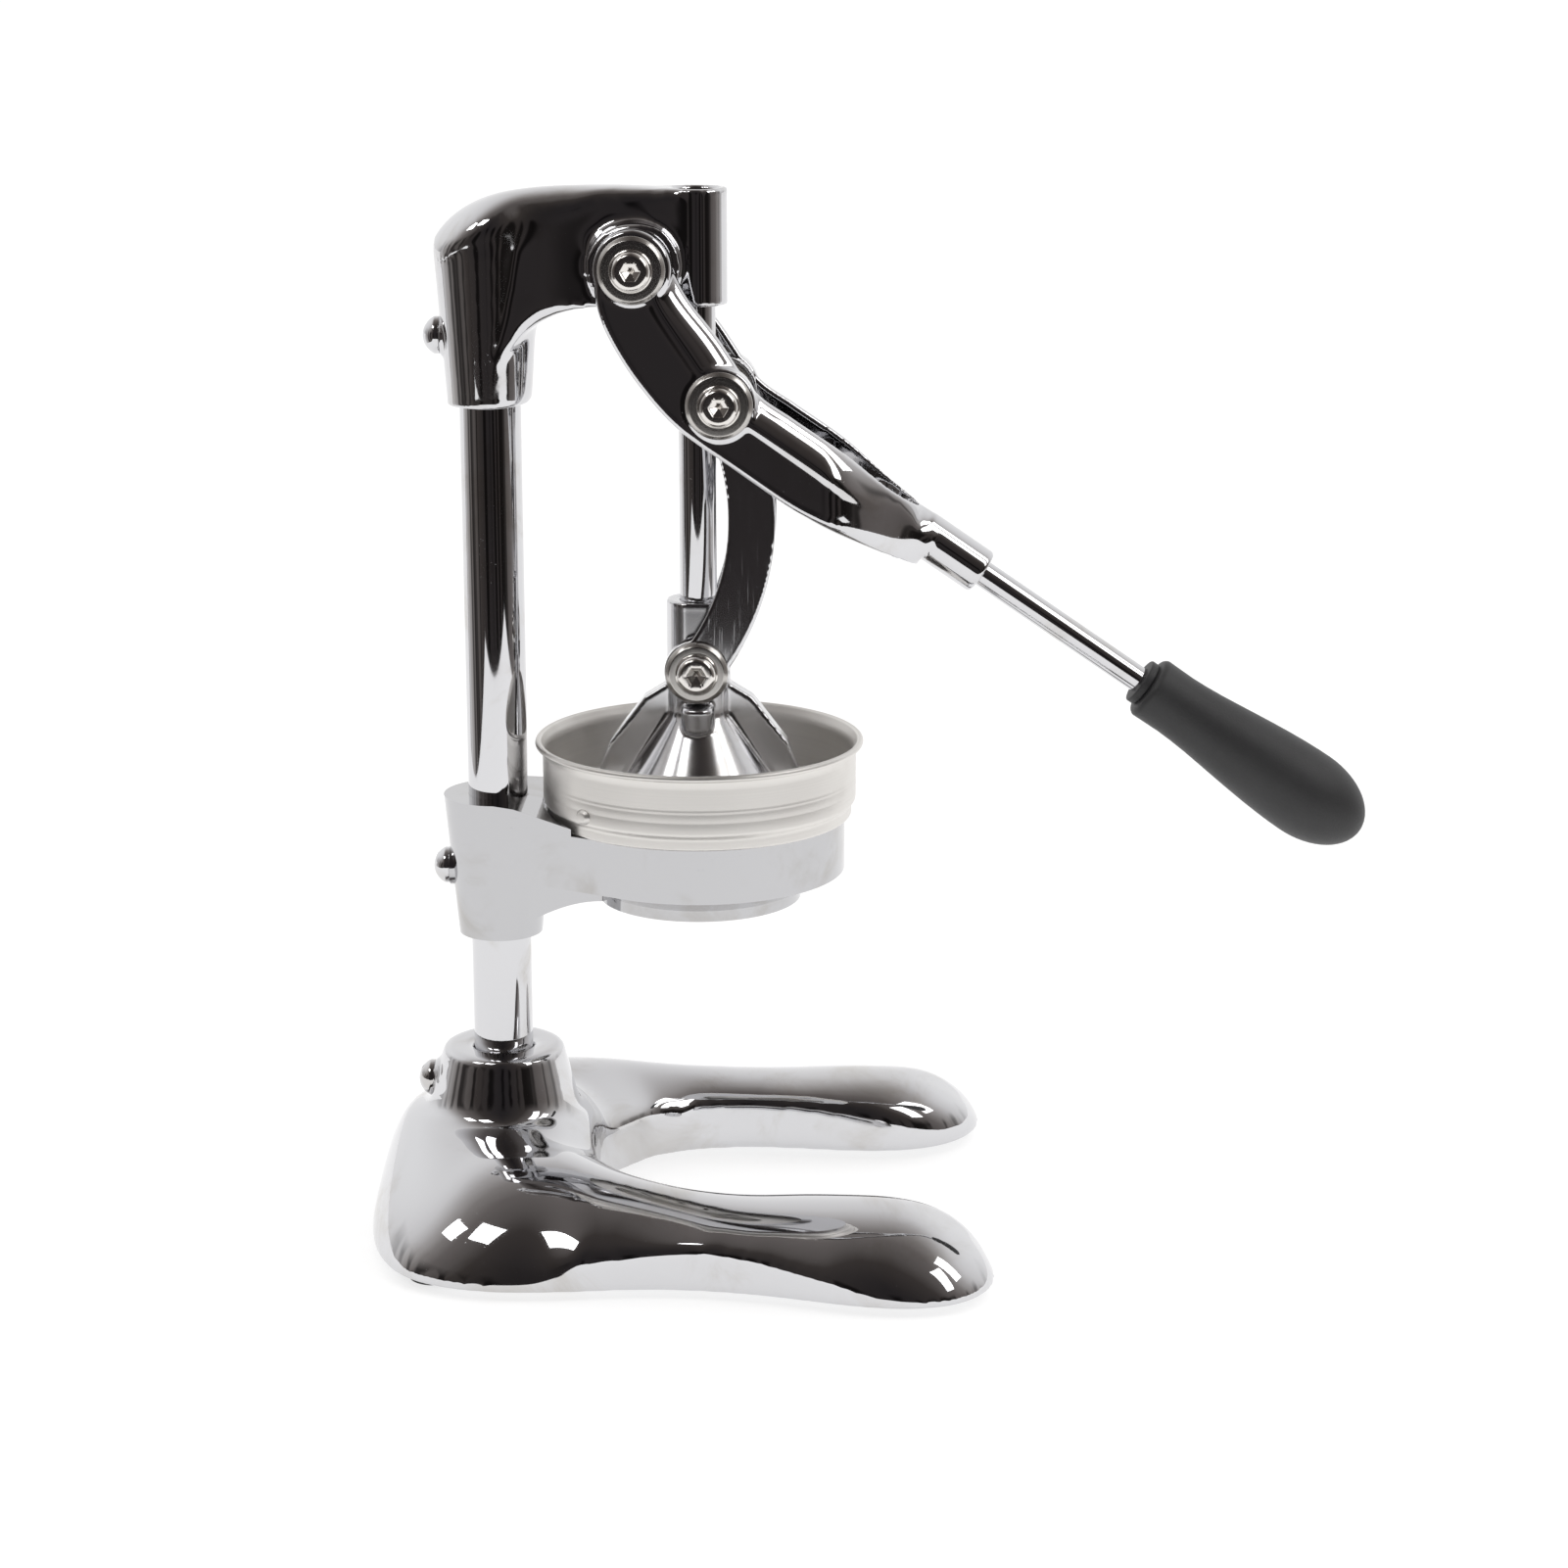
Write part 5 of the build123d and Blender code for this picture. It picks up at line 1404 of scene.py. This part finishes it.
# Stage


# Tones of the studio from its dark side, at the camera, to its white back
room_tones = (
    (0.25, (0.055, 0.047, 0.044)),
    (0.36, (0.115, 0.103, 0.098)),
    (0.50, (0.165, 0.148, 0.142)),
    (0.62, (0.28, 0.26, 0.25)),
    (0.725, (0.48, 0.46, 0.45)),
    (0.858, (0.80, 0.79, 0.79)),
)
room_darkest = (0.026, 0.023, 0.024)
white = (1.0, 1.0, 1.0)


def room_world(context):
    """A studio: white behind, dim above, dark towards the camera, with uneven upright bands."""
    world = bpy.data.worlds.new("studio")
    context.scene.world = world
    world.use_nodes = True
    tree = world.node_tree
    tree.nodes.clear()
    where = tree.nodes.new("ShaderNodeTexCoord").outputs["Generated"]
    x, y, z = add_node(tree, "ShaderNodeSeparateXYZ", Vector=where).outputs
    aside = maths(tree, "ABSOLUTE", x)
    round_back = maths(tree, "MULTIPLY_ADD", aside, ranged(tree, z, 0.25, 1.45), y)
    back = maths(tree, "MULTIPLY_ADD", z, -0.30, round_back)
    tones = add_node(tree, "ShaderNodeValToRGB", Fac=ranged(tree, back, 0.0, 1.0, -1.0, 1.0))
    ramp = tones.color_ramp.elements
    ramp[0].color = (*room_darkest, 1)
    ramp[1].color = (*white, 1)
    for place, colour in room_tones:
        ramp.new(place).color = (*colour, 1)
    level = add_node(tree, "ShaderNodeMapping", Vector=where, Scale=(1.0, 1.0, 0.12))
    bands = noise(tree, level.outputs["Vector"], 6.0, 0.0)
    flags = ranged(tree, bands, 0.22, 1.0, 0.36, 0.56, "SMOOTHSTEP")
    front = ranged(tree, y, 1.0, 0.0, -0.2, 0.75)
    low = ranged(tree, z, 1.0, 0.0, 0.16, 0.36)
    sides = maths(tree, "MULTIPLY", front, low)
    shaded = mixed(tree, sides, tones.outputs["Color"], flags, "MULTIPLY")
    seen = tree.nodes.new("ShaderNodeLightPath").outputs["Is Camera Ray"]
    light = add_node(tree, "ShaderNodeBackground", Color=mixed(tree, seen, shaded, white))
    add_node(tree, "ShaderNodeOutputWorld", Surface=light.outputs["Background"])


class PRESS_OT_stage(bpy.types.Operator):
    """Table, studio light and the camera of the photograph"""

    bl_idname = "press.stage"
    bl_label = "Stage"

    def execute(self, context):
        stage = context.scene.press_stage
        mesh = bpy.data.meshes.new("table")
        front, rear = -stage.table_front, 40.0
        narrow, narrow_end = 0.8, 0.35
        wide, wide_start = 30.0, 12.0
        right = [(narrow, front, 0), (narrow, narrow_end, 0), (wide, wide_start, 0), (wide, rear, 0)]
        corners = right + [(-x, y, z) for x, y, z in reversed(right)]
        mesh.from_pydata(corners, [], [tuple(range(8))])
        mesh.materials.append(finish_named("white_table"))
        table = shown("table", mesh)
        room_world(context)
        top = self.lamp("top_light", "SUN", stage.table_light, (0.3, 0.4, 2.0))
        top.data.angle = radians(70)
        top.visible_glossy = False
        # Name, place, width, height and share of the power
        boxes = (
            ("softbox_left", (-1.08, -0.46, 1.36), 0.32, 0.40, 0.55),
            ("softbox_middle", (-0.62, -0.70, 1.42), 0.32, 0.40, 0.55),
            ("softbox_front", (0.92, -0.70, 1.06), 0.30, 0.85, 0.7),
            ("softbox_right", (1.02, -0.27, 1.21), 0.30, 0.85, 0.7),
        )
        for name, place, across, tall, share in boxes:
            lamp = self.lamp(name, "AREA", stage.softbox_light * share, place)
            lamp.data.shape = "RECTANGLE"
            lamp.data.size = across
            lamp.data.size_y = tall
        lens = bpy.data.cameras.new("photo_camera")
        lens.lens = stage.lens
        lens.sensor_width = 36.0
        camera_pan = radians(1.0)
        camera = shown("photo_camera", lens)
        camera.location = (-9.2 * mm, -1281.7 * mm, 508.5 * mm)
        camera.rotation_euler = (pi / 2 - stage.camera_tilt, 0, camera_pan)
        context.scene.camera = camera
        context.scene.view_settings.view_transform = "Standard"
        return {"FINISHED"}

    def lamp(self, name, kind, power, place):
        """A lamp that looks at the middle of the press."""
        data = bpy.data.lights.new(name, kind)
        data.energy = power
        lamp = shown(name, data)
        lamp.location = place
        middle = Vector((-0.05, 0, 0.15))
        lamp.rotation_euler = (middle - lamp.location).to_track_quat("-Z", "Y").to_euler()
        return lamp


class PRESS_PT_panel(bpy.types.Panel):
    """Lists the steps that dress the press"""

    bl_label = "Citrus press"
    bl_idname = "PRESS_PT_panel"
    bl_space_type = "VIEW_3D"
    bl_region_type = "UI"
    bl_category = "Press"

    def draw(self, context):
        for step in steps:
            self.layout.operator(step.bl_idname)
        for group in (context.scene.press_sizes, context.scene.press_finish, context.scene.press_stage):
            column = self.layout.column()
            for name in group.__annotations__:
                column.prop(group, name)


groups = {"press_sizes": PressSizes, "press_finish": PressFinish, "press_stage": PressStage}
steps = (
    PRESS_OT_base,
    PRESS_OT_stand_castings,
    PRESS_OT_lever_fork,
    PRESS_OT_bell,
    PRESS_OT_links,
    PRESS_OT_bars,
    PRESS_OT_pivots,
    PRESS_OT_set_screws,
    PRESS_OT_feet,
    PRESS_OT_cup,
    PRESS_OT_strainer,
    PRESS_OT_grip,
    PRESS_OT_small_parts,
    PRESS_OT_stage,
)


def register():
    """Makes the properties, the steps and the panel known."""
    for name, group in groups.items():
        bpy.utils.register_class(group)
        setattr(bpy.types.Scene, name, bpy.props.PointerProperty(type=group))
    for step in steps:
        bpy.utils.register_class(step)
    bpy.utils.register_class(PRESS_PT_panel)


def unregister():
    """Takes the panel, the steps and the properties away."""
    bpy.utils.unregister_class(PRESS_PT_panel)
    for step in reversed(steps):
        bpy.utils.unregister_class(step)
    for name, group in groups.items():
        delattr(bpy.types.Scene, name)
        bpy.utils.unregister_class(group)


def main():
    """Makes the steps known and dresses the press piece by piece."""
    register()
    bpy.ops.press.base()
    bpy.ops.press.stand_castings()
    bpy.ops.press.lever_fork()
    bpy.ops.press.bell()
    bpy.ops.press.links()
    bpy.ops.press.bars()
    bpy.ops.press.pivots()
    bpy.ops.press.set_screws()
    bpy.ops.press.feet()
    bpy.ops.press.cup()
    bpy.ops.press.strainer()
    bpy.ops.press.grip()
    bpy.ops.press.small_parts()
    bpy.ops.press.stage()


if __name__ == "__main__":
    main()
